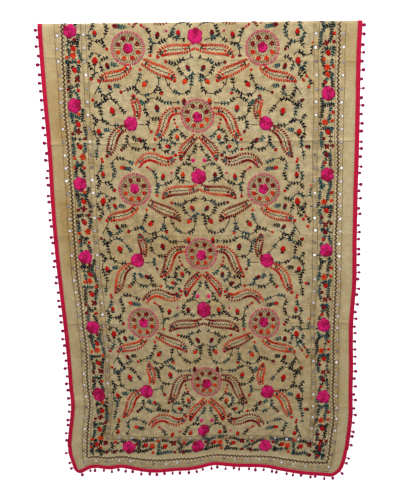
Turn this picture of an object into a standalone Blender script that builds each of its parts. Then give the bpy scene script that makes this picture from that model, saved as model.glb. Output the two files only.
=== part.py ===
"""Phulkari shawl folded once across and laid flat: a cotton panel, its pompom edging, its raised flowers.

Across is measured from the panel's middle, and down from the fold. The fold lies to +Y and the hem to -Y.
The shorter layer lies hidden under the shown one.
"""

import math

import bmesh
import bpy
from mathutils import Vector
from mathutils.bvhtree import BVHTree

MM = 0.001

# Driving dimensions
PANEL_WIDTH = 900 * MM
SHOWN_LENGTH = 1392 * MM
HIDDEN_LENGTH = 940 * MM
WALL = 1.5 * MM
TAPE_WIDTH = 9.5 * MM
FOLD_HEIGHT = 9 * MM
LAYER_GAP = 0.5 * MM
SEAM_GAP = 0.5 * MM
HIDDEN_INSET = 8 * MM
POMPOM_SPACING = 25 * MM

# A pompom on its thread, mm: distance out from the tape, half width
POMPOM_RINGS = ((4.2, 0.6), (6.4, 3.9), (10.6, 4.3), (13.2, 2.0))
POMPOM_STALK = 3 * MM
POMPOM_HEIGHT = 4.9 * MM
POMPOM_MARGIN = 10 * MM
POMPOM_SWING = 0.14
POMPOM_REACH_SPREAD = 0.1

# How far the fold's roundness and the cloth's soft forms take to settle, going down from the fold
FOLD_SETTLE = 75 * MM
FORM_START = 60 * MM
INSET_SETTLE = 140 * MM

HALF_WIDTH = PANEL_WIDTH / 2
FOLD_RADIUS = FOLD_HEIGHT / 2
FOLD_ARC = math.pi * FOLD_RADIUS

# Where the panel's side edges lie, mm: down, left edge, right edge
SIDE_EDGES = (
    (0, -450, 451),
    (100, -449, 451),
    (230, -443, 454),
    (370, -438, 457),
    (510, -436, 459),
    (660, -430, 462),
    (810, -420, 466),
    (970, -409, 467),
    (1120, -402, 471),
    (1165, -398, 473),
    (1210, -402, 475),
    (1290, -412, 470),
    (1340, -414, 462),
    (1392, -412, 450),
)

# How far the hem hangs past its straight line, mm: across, extra drop
HEM_LINE = (
    (-450, 2),
    (-373, -7),
    (-326, -3),
    (-283, -7),
    (-236, 2),
    (-189, 8),
    (-99, 8),
    (-56, 2),
    (24, -16),
    (70, -14),
    (161, -10),
    (211, -6),
    (255, 3),
    (302, 13),
    (349, 18),
    (450, 26),
)
HEM_REACH = 240 * MM
HEM_TAPE_START = 1318 * MM - FOLD_RADIUS
FOLD_TILT = 4.5 * MM
FOLD_TILT_REACH = 120 * MM

# The two lower corners, mm: across of the corner, radius, shift across, shift down, reach of the shift
CORNERS = (
    (-450, 13, 20, 17, 72),
    (450, 32, -2, 3, 60),
)

# Storage creases that cross the whole panel, mm: down, slope per metre, half width, height
CREASES = (
    (100, 0, 8, 1.6),
    (355, 8, 9, 2.2),
    (620, -6, 9, 1.8),
    (895, 5, 9, 2.4),
    (1170, 22, 10, 2.6),
)

# Soft folds that run up from the hem, mm: across at the hem, lean per metre, half width, height, reach up
HEM_FOLDS = (
    (-424, 40, 26, 4.5, 190),
    (-330, -60, 34, 3.5, 150),
    (-150, 120, 52, 6.5, 300),
    (-18, -80, 30, 3.0, 170),
    (120, 100, 40, 4.0, 240),
    (338, -160, 56, 8.0, 360),
)

# Lone puckers, mm: across, down, heading in degrees, half length, half width, height
PUCKERS = (
    (-438, 1168, 4, 90, 16, 3.5),
    (286, 1040, 52, 85, 17, 3.0),
    (404, 812, 60, 60, 14, 2.0),
    (-408, 300, 78, 110, 15, 1.8),
    (60, 1215, 70, 70, 16, 2.2),
    (-300, 760, 20, 90, 18, 1.6),
)

# Raised flowers worked in thick pink thread, mm: name, half width, across and down of each
FLOWERS = (
    ("border_flower_left", 20.5, ((-372, 26), (-371, 238), (-370, 463), (-369, 687), (-368, 911), (-367, 1138))),
    ("border_flower_right", 20.5, ((369, 198), (369, 434), (368, 665), (370, 904), (370, 1144))),
    ("border_flower_hem", 20.0, ((-259, 1322), (-33, 1317), (188, 1318))),
    ("middle_flower", 23.0, ((-15, 38), (-14, 441), (-13, 855), (-20, 1262))),
    ("field_flower_left", 20.5, ((-210, 286), (-210, 697), (-210, 1126))),
    ("field_flower_right", 20.5, ((186, 284), (186, 697), (184, 1127))),
    ("medallion_heart_left", 15.0, ((-207, 72), (-207, 477), (-206, 896))),
    ("medallion_heart_right", 15.0, ((179, 70), (179, 477), (178, 894))),
    ("medallion_heart_middle", 15.0, ((-14, 266), (-14, 680), (-13, 1100))),
)
FLOWER_PETALS = 5
FLOWER_TALLNESS = 1.08
PETAL_RING = (0.70, 1.0, 1.0)
FLOWER_EDGE = 1.9 * MM
FLOWER_DOME = 1.5 * MM

# The panel's grid: columns across, mm, closer together at the turned corners
COLUMNS = (
    -450, -446, -438, -425, -408, -386, -354, -308, -258, -208, -158, -108, -58, -8,
    42, 92, 142, 192, 242, 290, 332, 368, 398, 420, 434, 444, 450,
)
ROW_SPACING = 62 * MM
CREASE_ROW = 14 * MM
FOLD_SIDE_ROWS = (18, 36)
HEM_ROWS = (1228, 1262, 1292, 1318, 1340, 1358, 1371, 1380, 1388, 1392)
FLAP_ROWS = 5
FLAP_ROW_GROWTH = 1.4
FOLD_ROWS = 6

# Where the shown layer comes down to the floor, past the hidden one's end
STEP_DOWN = (952 * MM, 1012 * MM)

CLOTH_COLOUR = (0.56, 0.43, 0.23)
TAPE_COLOUR = (0.56, 0.012, 0.055)
FLOWER_COLOUR = (0.72, 0.012, 0.17)


def clear_scene():
    for old in list(bpy.data.objects):
        bpy.data.objects.remove(old)


def fabric_material(name, colour, roughness):
    material = bpy.data.materials.new(name)
    material.use_nodes = True
    shader = material.node_tree.nodes["Principled BSDF"]
    shader.inputs["Base Color"].default_value = (*colour, 1)
    shader.inputs["Roughness"].default_value = roughness
    shader.inputs["Metallic"].default_value = 0.0
    return material


def ease(share):
    """0 to 1 with a level start and end."""
    share = min(1.0, max(0.0, share))
    return share * share * (3 - 2 * share)


def through(rows, column, at):
    """A smooth curve through a table's rows, in metres: its first column is the place, another the value."""
    place = min(max(at / MM, rows[0][0]), rows[-1][0])
    k = next(i for i in range(1, len(rows)) if place <= rows[i][0])
    before, low, high, after = rows[max(k - 2, 0)], rows[k - 1], rows[k], rows[min(k + 1, len(rows) - 1)]
    span = high[0] - low[0]
    t = (place - low[0]) / span
    rise_in = (high[column] - before[column]) / (high[0] - before[0]) * span
    rise_out = (after[column] - low[column]) / (after[0] - low[0]) * span
    value = (
        (2 * t**3 - 3 * t**2 + 1) * low[column]
        + (t**3 - 2 * t**2 + t) * rise_in
        + (3 * t**2 - 2 * t**3) * high[column]
        + (t**3 - t**2) * rise_out
    )
    return value * MM


def round_corner(across, down):
    """Bends the panel's square lower corners to arcs."""
    for corner, radius, *_ in CORNERS:
        side = math.copysign(1, corner)
        sideways = 1 - (HALF_WIDTH - side * across) / (radius * MM)
        downward = 1 - (SHOWN_LENGTH - down) / (radius * MM)
        if sideways > 0 and downward > 0:
            across += side * radius * MM * sideways * (math.sqrt(1 - downward**2 / 2) - 1)
            down += radius * MM * downward * (math.sqrt(1 - sideways**2 / 2) - 1)
    return across, down


def outline(across, down):
    """Where a point of the panel lies on the floor plan."""
    across, down = round_corner(across, down)
    left, right = through(SIDE_EDGES, 1, down), through(SIDE_EDGES, 2, down)
    share = across / PANEL_WIDTH + 0.5
    hem_share = max(0.0, 1 - (SHOWN_LENGTH - down) / HEM_REACH) ** 2
    tilt = FOLD_TILT * (1 - 2 * share) * (1 - ease(down / FOLD_TILT_REACH))
    x = left + (right - left) * share
    y = -(down + tilt + through(HEM_LINE, 1, across) * hem_share)
    for corner, _, shift_across, shift_down, reach in CORNERS:
        away = math.hypot(across - corner * MM, down - SHOWN_LENGTH)
        pull = ease(1 - away / (reach * MM))
        x += shift_across * MM * pull
        y -= shift_down * MM * pull
    return x, y


def crease_height(across, down):
    total = 0.0
    for place, slope, half_width, height in CREASES:
        off = (down - place * MM - slope * MM * across) / (half_width * MM)
        uneven = 0.75 + 0.25 * math.sin(9 * across / HALF_WIDTH + place)
        total += height * MM * uneven * math.exp(-off * off)
    return total


def hem_fold_height(across, down):
    total = 0.0
    up = SHOWN_LENGTH - down
    for place, lean, half_width, height, reach in HEM_FOLDS:
        off = (across - place * MM - lean * MM * up) / (half_width * MM)
        total += height * MM * max(0.0, 1 - up / (reach * MM)) ** 1.5 * math.exp(-off * off)
    return total


def pucker_height(across, down):
    total = 0.0
    for place, drop, heading, half_length, half_width, height in PUCKERS:
        dx, dy = across - place * MM, down - drop * MM
        turn = math.radians(heading)
        along = (dx * math.cos(turn) + dy * math.sin(turn)) / (half_length * MM)
        aside = (dy * math.cos(turn) - dx * math.sin(turn)) / (half_width * MM)
        total += height * MM * math.exp(-along * along - aside * aside)
    return total


def resting_height(down):
    """Underside of the shown layer: on the hidden layer, then on the floor past its end."""
    return (WALL + LAYER_GAP) * (1 - ease((down - STEP_DOWN[0]) / (STEP_DOWN[1] - STEP_DOWN[0])))


def top_height(across, down):
    """Upper side of the shown layer."""
    loft = (FOLD_HEIGHT - 2 * WALL - LAYER_GAP) * (1 - ease((down - FOLD_RADIUS) / FOLD_SETTLE))
    forms = crease_height(across, down) + hem_fold_height(across, down) + pucker_height(across, down)
    return resting_height(down) + WALL + loft + forms * ease(down / FORM_START)


def outer_point(across, along):
    """A point of the panel's outer side: along is 0 at the fold, plus towards the hem, minus under it."""
    if along >= 0:
        down = along + FOLD_RADIUS
        return Vector((*outline(across, down), top_height(across, down)))
    if along > -FOLD_ARC:
        angle = -along / FOLD_RADIUS
        x, y = outline(across, FOLD_RADIUS)
        y += FOLD_RADIUS * math.sin(angle)
        loft = top_height(across, FOLD_RADIUS) - FOLD_RADIUS
        return Vector((x, y, FOLD_RADIUS + loft * math.cos(angle)))
    down = FOLD_RADIUS - along - FOLD_ARC
    inset = HIDDEN_INSET * ease(down / INSET_SETTLE)
    x, y = outline(across * (1 - inset / HALF_WIDTH), down)
    return Vector((x, y, 0))


def inward(along):
    """The way through the wall from its outer side."""
    angle = min(max(-along / FOLD_RADIUS, 0), math.pi)
    return Vector((0, -math.sin(angle), -math.cos(angle)))


def rows_along():
    """Where the panel's rows lie, from the hidden end to the hem."""
    needed = [place * MM + step for place, *_ in CREASES for step in (-CREASE_ROW, 0, CREASE_ROW)]
    needed += [STEP_DOWN[0], sum(STEP_DOWN) / 2, STEP_DOWN[1]]
    spaced = [ROW_SPACING * k for k in range(1, int(HEM_ROWS[0] * MM / ROW_SPACING))]
    spaced = [row for row in spaced if all(abs(row - other) > CREASE_ROW for other in needed)]
    shown = [FOLD_RADIUS, *(row * MM for row in FOLD_SIDE_ROWS + HEM_ROWS), *needed, *spaced]
    fold = [-FOLD_ARC * k / FOLD_ROWS for k in range(1, FOLD_ROWS)]
    flap_span = HIDDEN_LENGTH - FOLD_RADIUS
    flap = [-FOLD_ARC - flap_span * (k / FLAP_ROWS) ** FLAP_ROW_GROWTH for k in range(FLAP_ROWS + 1)]
    return sorted(flap + fold + [row - FOLD_RADIUS for row in shown])


def new_object(name, bm, material):
    mesh = bpy.data.meshes.new(name)
    bmesh.ops.recalc_face_normals(bm, faces=bm.faces[:])
    bm.to_mesh(mesh)
    bm.free()
    mesh.materials.append(material)
    obj = bpy.data.objects.new(name, mesh)
    bpy.context.scene.collection.objects.link(obj)
    return obj


def panel_grid(rows):
    """The panel's outer side as a grid, each point moved to its place in the folded cloth."""
    bm = bmesh.new()
    bmesh.ops.create_grid(bm, x_segments=len(COLUMNS) - 1, y_segments=len(rows) - 1, size=1)
    bm.verts.ensure_lookup_table()
    for k, vert in enumerate(bm.verts):
        row, column = divmod(k, len(COLUMNS))
        vert.co = outer_point(COLUMNS[column] * MM, rows[row])
    return bm


def make_panel(rows, material):
    """The folded cloth, and a tree of its outer side to set things on."""
    bm = panel_grid(rows)
    tree = BVHTree.FromBMesh(bm)
    panel = new_object("panel", bm, material)
    upward = max(panel.data.polygons, key=lambda face: face.center.z)
    if upward.normal.z < 0:
        panel.data.flip_normals()
    wall = panel.modifiers.new("wall", "SOLIDIFY")
    wall.thickness = WALL
    wall.offset = -1
    wall.use_even_offset = True
    panel.data.shade_smooth()
    return panel, tree


def edge_station(across, along):
    """A place on the panel's edge: (along, upper point, lower point), on the two sides of the wall."""
    point = outer_point(across, along)
    return [along, point, point + inward(along) * WALL]


def with_outward(stations, side):
    """Adds each station's mitred outward direction, worked out from its neighbours on the floor plan."""
    path = []
    for k, (along, outer, inner) in enumerate(stations):
        outward = Vector((side, 0, 0))
        if along > 0:
            before, after = stations[max(k - 1, 0)][1], stations[min(k + 1, len(stations) - 1)][1]
            headings = [(outer - before).xy, (after - outer).xy]
            sides = [Vector((h.y, -h.x, 0)).normalized() for h in headings if h.length > 0]
            outward = sum(sides, Vector()) / len(sides)
            outward /= outward.length_squared
        path.append((along, outer, inner, outward))
    return path


def perimeter(rows):
    """The panel's edge from the hidden end up the left, over the fold, along the hem and back the same way."""
    left = [edge_station(-HALF_WIDTH, along) for along in rows]
    bottom = [edge_station(column * MM, rows[-1]) for column in COLUMNS[1:-1]]
    right = [edge_station(HALF_WIDTH, along) for along in reversed(rows)]
    middle = len(left) + len(bottom) // 2
    loop = left + bottom + right
    return with_outward(loop, -1)[:middle] + with_outward(loop, 1)[middle:]


def hidden_end_path(inset):
    """The hidden layer's end, under the shown one, stopping short of its side tapes."""
    along = -FOLD_ARC - (HIDDEN_LENGTH - FOLD_RADIUS)
    path = []
    for share in (-1, -0.5, 0, 0.5, 1):
        station = edge_station(share * (HALF_WIDTH - inset), along)
        path.append((*station, Vector((0, -1, 0))))
    return path


def arc_lengths(path):
    lengths = [0.0]
    for before, after in zip(path, path[1:]):
        lengths.append(lengths[-1] + (after[1] - before[1]).length)
    return lengths


def at_length(path, lengths, place):
    """The path's upper point, lower point and outward direction at a distance along it."""
    k = next((i for i in range(1, len(path)) if place <= lengths[i]), len(path) - 1)
    share = (place - lengths[k - 1]) / (lengths[k] - lengths[k - 1])
    return [path[k - 1][i].lerp(path[k][i], share) for i in (1, 2, 3)]


def pompom_places(start, end, lengths, seed):
    """Where the stalks leave the tape: a little unevenly spaced, and clear of the path's own points."""
    count = round((end - start) / POMPOM_SPACING)
    places = []
    for k in range(count):
        wobble = 0.11 * math.sin(2.4 * k + seed) + 0.06 * math.sin(5.1 * k + 2 * seed)
        place = start + (end - start) * (k + 0.5 + wobble) / count
        near = min(lengths, key=lambda length: abs(length - place))
        clear = POMPOM_STALK
        if abs(near - place) < clear:
            place = near + math.copysign(clear, place - near)
        places.append(place)
    return places


def tape_section(point, inner, outward):
    """The tape's corners: upper beside the cloth, upper outside, lower outside, lower beside the cloth."""
    near, far = outward * SEAM_GAP, outward * (SEAM_GAP + TAPE_WIDTH)
    return [point + near, point + far, inner + far, inner + near]


def grow_pompom(bm, face, index, seed):
    """Draws one pompom out of the tape's outer face."""
    outward = face.normal.copy()
    outward.z = 0
    outward.normalize()
    sideways = Vector((-outward.y, outward.x, 0))
    swing = POMPOM_SWING * math.sin(3.7 * index + seed)
    reach = 1 + POMPOM_REACH_SPREAD * math.sin(2.9 * index + 3 * seed)
    heading = (outward + sideways * swing).normalized()
    root = face.calc_center_median()
    for out, half_width in POMPOM_RINGS:
        face = bmesh.ops.extrude_discrete_faces(bm, faces=[face])["faces"][0]
        centre = root + heading * out * reach * MM
        lift = min(1.0, out / POMPOM_RINGS[1][0])
        centre.z = root.z + (POMPOM_HEIGHT - root.z) * lift
        across_face = Vector((-heading.y, heading.x, 0)) * half_width * MM
        up_face = Vector((0, 0, half_width * MM))
        middle = face.calc_center_median()
        for vert in face.verts:
            off = vert.co - middle
            aside = math.copysign(1, off.dot(sideways))
            raised = math.copysign(1, off.z)
            vert.co = centre + across_face * aside + up_face * raised


def drawn_back(path):
    """The path with both ends drawn back, so that neighbouring tapes don't touch."""
    path = list(path)
    for end, inner in ((0, 1), (-1, -2)):
        back = (path[inner][1] - path[end][1]).normalized() * SEAM_GAP / 2
        path[end] = (path[end][0], path[end][1] + back, path[end][2] + back, path[end][3])
    return path


def make_edging(name, path, pompoms, seed, material):
    """A tape along a path of the cloth's edge, section by section, with pompoms on its outer side."""
    lengths = arc_lengths(path)
    places = pompom_places(*pompoms, lengths, seed) if pompoms else []
    stalks = [(place - POMPOM_STALK / 2, place + POMPOM_STALK / 2) for place in places]
    stations = sorted(lengths + [end for stalk in stalks for end in stalk])
    bm = bmesh.new()
    first = [bm.verts.new(corner) for corner in tape_section(*at_length(path, lengths, stations[0]))]
    bm.faces.new(first)
    previous = first
    stalk_faces = []
    for before, after in zip(stations, stations[1:]):
        section = tape_section(*at_length(path, lengths, after))
        corners = [bm.verts.new(corner) for corner in section]
        for k in range(4):
            face = bm.faces.new((previous[k], corners[k], corners[(k + 1) % 4], previous[(k + 1) % 4]))
            if k == 1 and any(abs(before - low) < 1e-9 for low, _ in stalks):
                stalk_faces.append(face)
        previous = corners
    bm.faces.new(previous)
    bmesh.ops.recalc_face_normals(bm, faces=bm.faces[:])
    for index, face in enumerate(stalk_faces):
        grow_pompom(bm, face, index, seed)
    return new_object(name, bm, material)


def make_edgings(loop, material):
    """The side tapes with their pompoms, the hem's round both corners, and the hidden end's plain one."""
    splits = [k for k, station in enumerate(loop) if abs(station[0] - HEM_TAPE_START) < MM]
    left, hem, right = loop[:splits[0] + 1], loop[splits[0]:splits[1] + 1], loop[splits[1]:]
    edgings = []
    for name, part, seed in (("edging_left", left, 0.6), ("edging_hem", hem, 4.4), ("edging_right", right, 2.1)):
        path = drawn_back(part)
        lengths = arc_lengths(path)
        fold = [length for length, station in zip(lengths, path) if station[0] <= -FOLD_ARC / 2]
        start = fold[-1] if path[0][0] < 0 else POMPOM_MARGIN
        end = fold[0] if path[-1][0] < 0 else lengths[-1] - POMPOM_MARGIN
        edgings.append(make_edging(name, path, (start, end), seed, material))
    end_inset = HIDDEN_INSET + 2 * SEAM_GAP
    edgings.append(make_edging("edging_hidden_end", hidden_end_path(end_inset), None, 0, material))
    return edgings


def make_flower(name, across, down, half_width, tree, material):
    """A low dome of petals that stands on the cloth."""
    bm = bmesh.new()
    points = len(PETAL_RING) * FLOWER_PETALS
    bmesh.ops.create_circle(bm, cap_ends=True, segments=points, radius=1)
    x, y = outline(across, down)
    for k, vert in enumerate(bm.verts):
        lobe = PETAL_RING[k % len(PETAL_RING)]
        vert.co.x *= lobe * half_width
        vert.co.y *= lobe * half_width * FLOWER_TALLNESS
    heights = []
    for share in (0, 0.35, 0.7, 1, FLOWER_TALLNESS):
        for k in range(points):
            angle, reach = math.tau * k / points, share * half_width
            above = Vector((x + reach * math.cos(angle), y + reach * math.sin(angle), 0.1))
            heights.append(tree.ray_cast(above, Vector((0, 0, -1)))[0].z)
    base = max(heights) + SEAM_GAP
    bmesh.ops.translate(bm, verts=bm.verts[:], vec=(0, 0, base))
    grown = bmesh.ops.extrude_face_region(bm, geom=bm.faces[:])["geom"]
    face = next(part for part in grown if isinstance(part, bmesh.types.BMFace))
    bmesh.ops.translate(bm, verts=face.verts[:], vec=(0, 0, FLOWER_EDGE))
    centre = bmesh.ops.poke(bm, faces=[face])["verts"][0]
    centre.co.z += FLOWER_DOME
    bmesh.ops.translate(bm, verts=bm.verts[:], vec=(x, y, 0))
    return new_object(name, bm, material)


def stand_on_origin(parts):
    """Parents every part to one empty that puts the middle of the whole over the origin."""
    graph = bpy.context.evaluated_depsgraph_get()
    corners = [Vector(corner) for part in parts for corner in part.evaluated_get(graph).bound_box]
    lows = [min(corner[axis] for corner in corners) for axis in range(3)]
    highs = [max(corner[axis] for corner in corners) for axis in range(3)]
    shawl = bpy.data.objects.new("shawl", None)
    bpy.context.scene.collection.objects.link(shawl)
    shawl.location = (-(lows[0] + highs[0]) / 2, -(lows[1] + highs[1]) / 2, -lows[2])
    for part in parts:
        part.parent = shawl


def main():
    clear_scene()
    cloth = fabric_material("undyed cotton cloth", CLOTH_COLOUR, 0.85)
    tape = fabric_material("crimson woven tape", TAPE_COLOUR, 0.7)
    thread = fabric_material("pink embroidery thread", FLOWER_COLOUR, 0.6)
    rows = rows_along()
    panel, tree = make_panel(rows, cloth)
    parts = [panel, *make_edgings(perimeter(rows), tape)]
    for name, half_width, places in FLOWERS:
        for number, (across, down) in enumerate(places, 1):
            flower = make_flower(f"{name}_{number}", across * MM, down * MM, half_width * MM, tree, thread)
            parts.append(flower)
    bpy.context.view_layer.update()
    stand_on_origin(parts)


main()
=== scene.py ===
"""Phulkari shawl, folded across and laid flat: its cloth, pompom tape and embroidery.

Places on the cloth are in millimetres: across from its middle, and down from the fold. The cloth turns
under itself at the fold, where down is less than nothing.
"""

import math

import bmesh
import bpy
import numpy as np
from mathutils import Matrix, Vector


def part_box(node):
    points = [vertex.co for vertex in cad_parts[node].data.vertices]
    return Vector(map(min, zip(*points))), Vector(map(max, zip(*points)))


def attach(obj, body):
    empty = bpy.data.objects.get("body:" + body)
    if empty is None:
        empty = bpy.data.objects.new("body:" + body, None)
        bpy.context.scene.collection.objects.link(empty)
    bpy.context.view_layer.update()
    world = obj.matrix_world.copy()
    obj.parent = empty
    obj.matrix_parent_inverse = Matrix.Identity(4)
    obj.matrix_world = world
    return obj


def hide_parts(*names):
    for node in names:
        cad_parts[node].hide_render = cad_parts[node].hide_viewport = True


bl_info = {
    "name": "Phulkari Shawl",
    "version": (1, 0, 0),
    "blender": (4, 5, 0),
    "location": "3D View > Sidebar > Shawl",
    "description": "Cloth, pompom tape and embroidery of a folded phulkari shawl",
    "category": "Object",
}

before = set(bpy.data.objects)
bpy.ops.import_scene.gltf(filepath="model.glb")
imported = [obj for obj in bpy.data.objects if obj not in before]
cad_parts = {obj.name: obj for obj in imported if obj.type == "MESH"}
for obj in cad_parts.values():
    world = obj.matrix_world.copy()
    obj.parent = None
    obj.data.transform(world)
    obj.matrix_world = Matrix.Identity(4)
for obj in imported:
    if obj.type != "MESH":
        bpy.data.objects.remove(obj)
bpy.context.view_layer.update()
MM = 0.001

# The cloth's cut and lie
HALF_WIDTH = 450.0
SHOWN_LENGTH = 1392.0
HIDDEN_LENGTH = 940.0
WALL = 1.5
LAYER_GAP = 0.5
FOLD_HEIGHT = 9.0
FOLD_RADIUS = FOLD_HEIGHT / 2
FOLD_ARC = math.pi * FOLD_RADIUS
FOLD_END = FOLD_RADIUS - FOLD_ARC
HIDDEN_INSET = 8.0
FOLD_SETTLE = 75.0
FORM_START = 60.0
INSET_SETTLE = 140.0
STEP_DOWN = (952.0, 1012.0)
FOLD_TILT = 4.5
FOLD_TILT_REACH = 120.0
HEM_REACH = 240.0
TAPE_WIDTH = 9.5
TAPE_REACH = {"left": (-1.5, 11.8), "right": (-2.0, 12.2), "hem": (-4.0, 9.5), "hidden_end": (-1.5, 9.7)}

# Where the side edges lie: down, left edge, right edge
SIDE_EDGES = (
    (0, -450, 449),
    (100, -449, 450),
    (230, -444, 454),
    (370, -438, 457.5),
    (510, -436, 460),
    (660, -430.5, 464.5),
    (770, -423.5, 468.5),
    (850, -417.5, 466),
    (900, -414, 464.5),
    (960, -410, 467),
    (1040, -406.5, 471.5),
    (1120, -404, 473.5),
    (1165, -400, 475.5),
    (1210, -404, 477.5),
    (1290, -415, 472),
    (1340, -418, 466),
    (1392, -414, 452),
)

# How far the hem hangs past its straight line: across, extra drop
HEM_LINE = (
    (-450, 2),
    (-373, -7),
    (-326, -3),
    (-283, -7),
    (-236, 2),
    (-189, 8),
    (-99, 3),
    (-56, 2),
    (24, -16),
    (70, -14),
    (161, -10),
    (211, -6),
    (255, 3),
    (302, 10),
    (349, 15),
    (450, 26),
)

# The lower corners: across of the corner, radius, shift across, shift down, reach of the shift
CORNERS = (
    (-450, 13, 13, 11, 64),
    (450, 32, -2, 3, 60),
)

# Storage creases, soft and uneven: down, slope, half width, height, sharpness of the line along it
CREASES = (
    (105, 0.010, 7, 1.5, 0.6),
    (342, -0.014, 8, 2.1, 1.0),
    (620, -0.006, 8, 1.7, 0.35),
    (900, -0.006, 8, 2.3, 0.6),
    (1170, 0.030, 9, 2.5, 0.45),
)

# How far to each side of its middle a crease's line shades the cloth, in metres
CREASE_REACH = 0.012

# Where the cotton is yellowed and darkened most, partly its yellowing and partly painted shade along a soft
# fold near the left edge: across, down, half width, half length, strength
YELLOWED_AND_SHADED_PLACES = (
    (-424, 250, 34, 150, 0.55),
    (-420, 590, 36, 170, 0.55),
    (-438, 940, 40, 120, 0.2),
    (444, 90, 40, 90, 0.35),
    (404, 1010, 30, 200, 0.2),
    (-120, 640, 190, 160, 0.25),
    (120, 1040, 200, 150, 0.2),
)

# Soft folds up from the hem: across at the hem, lean, half width, height, reach up
HEM_FOLDS = (
    (-424, 0.04, 26, 4.5, 190),
    (-330, -0.06, 34, 3.5, 150),
    (-150, 0.12, 52, 6.5, 300),
    (-18, -0.08, 30, 3.0, 170),
    (120, 0.10, 40, 4.0, 240),
    (338, -0.16, 56, 8.0, 360),
)

# Lone puckers: across, down, heading in degrees, half length, half width, height
PUCKERS = (
    (-438, 1168, 4, 90, 16, 3.5),
    (286, 1040, 52, 85, 17, 3.0),
    (404, 812, 60, 60, 14, 2.0),
    (-408, 300, 78, 110, 15, 1.8),
    (60, 1215, 70, 70, 16, 2.2),
    (-300, 760, 20, 90, 18, 1.6),
)

# Threads and their sRGB colours
THREADS = {
    "hot pink": "E62478",
    "shaded hot pink": "BA1450",
    "painted shade pink": "9A0B45",
    "dusty pink": "D0486F",
    "red": "C8170E",
    "orange": "DE3C14",
    "maroon": "820916",
    "navy": "0D1722",
    "teal": "14545A",
    "brown": "4A3826",
    "black brown": "1F1B1A",
    "chain brown": "4A2A18",
    "cream": "EAD9BC",
    "grey brown": "6C5438",
}
THREAD_NAMES = list(THREADS)

# Raised flowers: node's stem, half width, petals, and across and down of each
RAISED_FLOWERS = (
    ("border_flower_left", 20.5, 6,
     ((-370, 22), (-371, 233), (-370, 463), (-369, 687), (-368, 911), (-367, 1138))),
    ("border_flower_right", 20.5, 6, ((369, 198), (369, 434), (368, 665), (369, 904), (366, 1144))),
    ("border_flower_hem", 20.0, 6, ((-259, 1322), (-33, 1317), (188, 1318))),
    ("middle_flower", 23.0, 6, ((-15, 38), (-14, 441), (-13, 855), (-20, 1261))),
    ("field_flower_left", 20.5, 7, ((-210, 286), (-210, 697), (-210, 1126))),
    ("field_flower_right", 20.5, 7, ((186, 284), (186, 697), (184, 1127))),
    ("medallion_heart_left", 15.0, 5, ((-207, 72), (-207, 477), (-206, 896))),
    ("medallion_heart_right", 15.0, 5, ((179, 70), (179, 477), (178, 894))),
    ("medallion_heart_middle", 15.0, 5, ((-14, 266), (-14, 680), (-13, 1100))),
)

# How far a flower shrinks where the field's lower line crowds it
CROWDED_FLOWER = 0.78

# The field's repeat, mirrored about the middle line: where each begins, and its stretch
MIDDLE_LINE = -14.0
REPEATS = ((-408, 1.0), (0, 0.983), (405, 1.017), (824, 1.01), (1240, 1.0))
FIELD_HALF_WIDTH = 323.0
FIELD_END = 1277.0

# Feathers of the half repeat, root to tip: places from the middle line and down, half width
FEATHERS = (
    (((150, 112), (125, 126), (100, 137), (82, 144), (70, 153), (61, 167)), 13),
    (((192, 124), (203, 138), (222, 148), (245, 153), (265, 157), (283, 167)), 11.5),
    (((6, 67), (25, 74), (55, 76), (82, 79), (98, 86), (109, 99)), 12.5),
    (((178, 273), (175, 255), (177, 238), (182, 222), (184, 207)), 10),
    (((216, 303), (236, 314), (250, 334), (256, 355), (263, 373), (273, 388)), 12),
    (((50, 252), (76, 256), (92, 272), (101, 295), (110, 317), (128, 338)), 12),
    (((8, 328), (23, 343), (38, 358), (49, 375), (53, 398)), 9.5),
    (((182, 415), (168, 398), (150, 389), (130, 391), (110, 400), (92, 403), (78, 397), (68, 382)), 11.5),
)
FEATHER_THREADS = (
    ("orange", "red"),
    ("maroon", "maroon"),
    ("red", "orange"),
    ("maroon", "red"),
    ("red", "maroon"),
    ("red", "red"),
    ("maroon", "orange"),
)

# Medallions of the half repeat: from the middle line, down
MEDALLIONS = ((193, 73), (0, 267))

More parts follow.
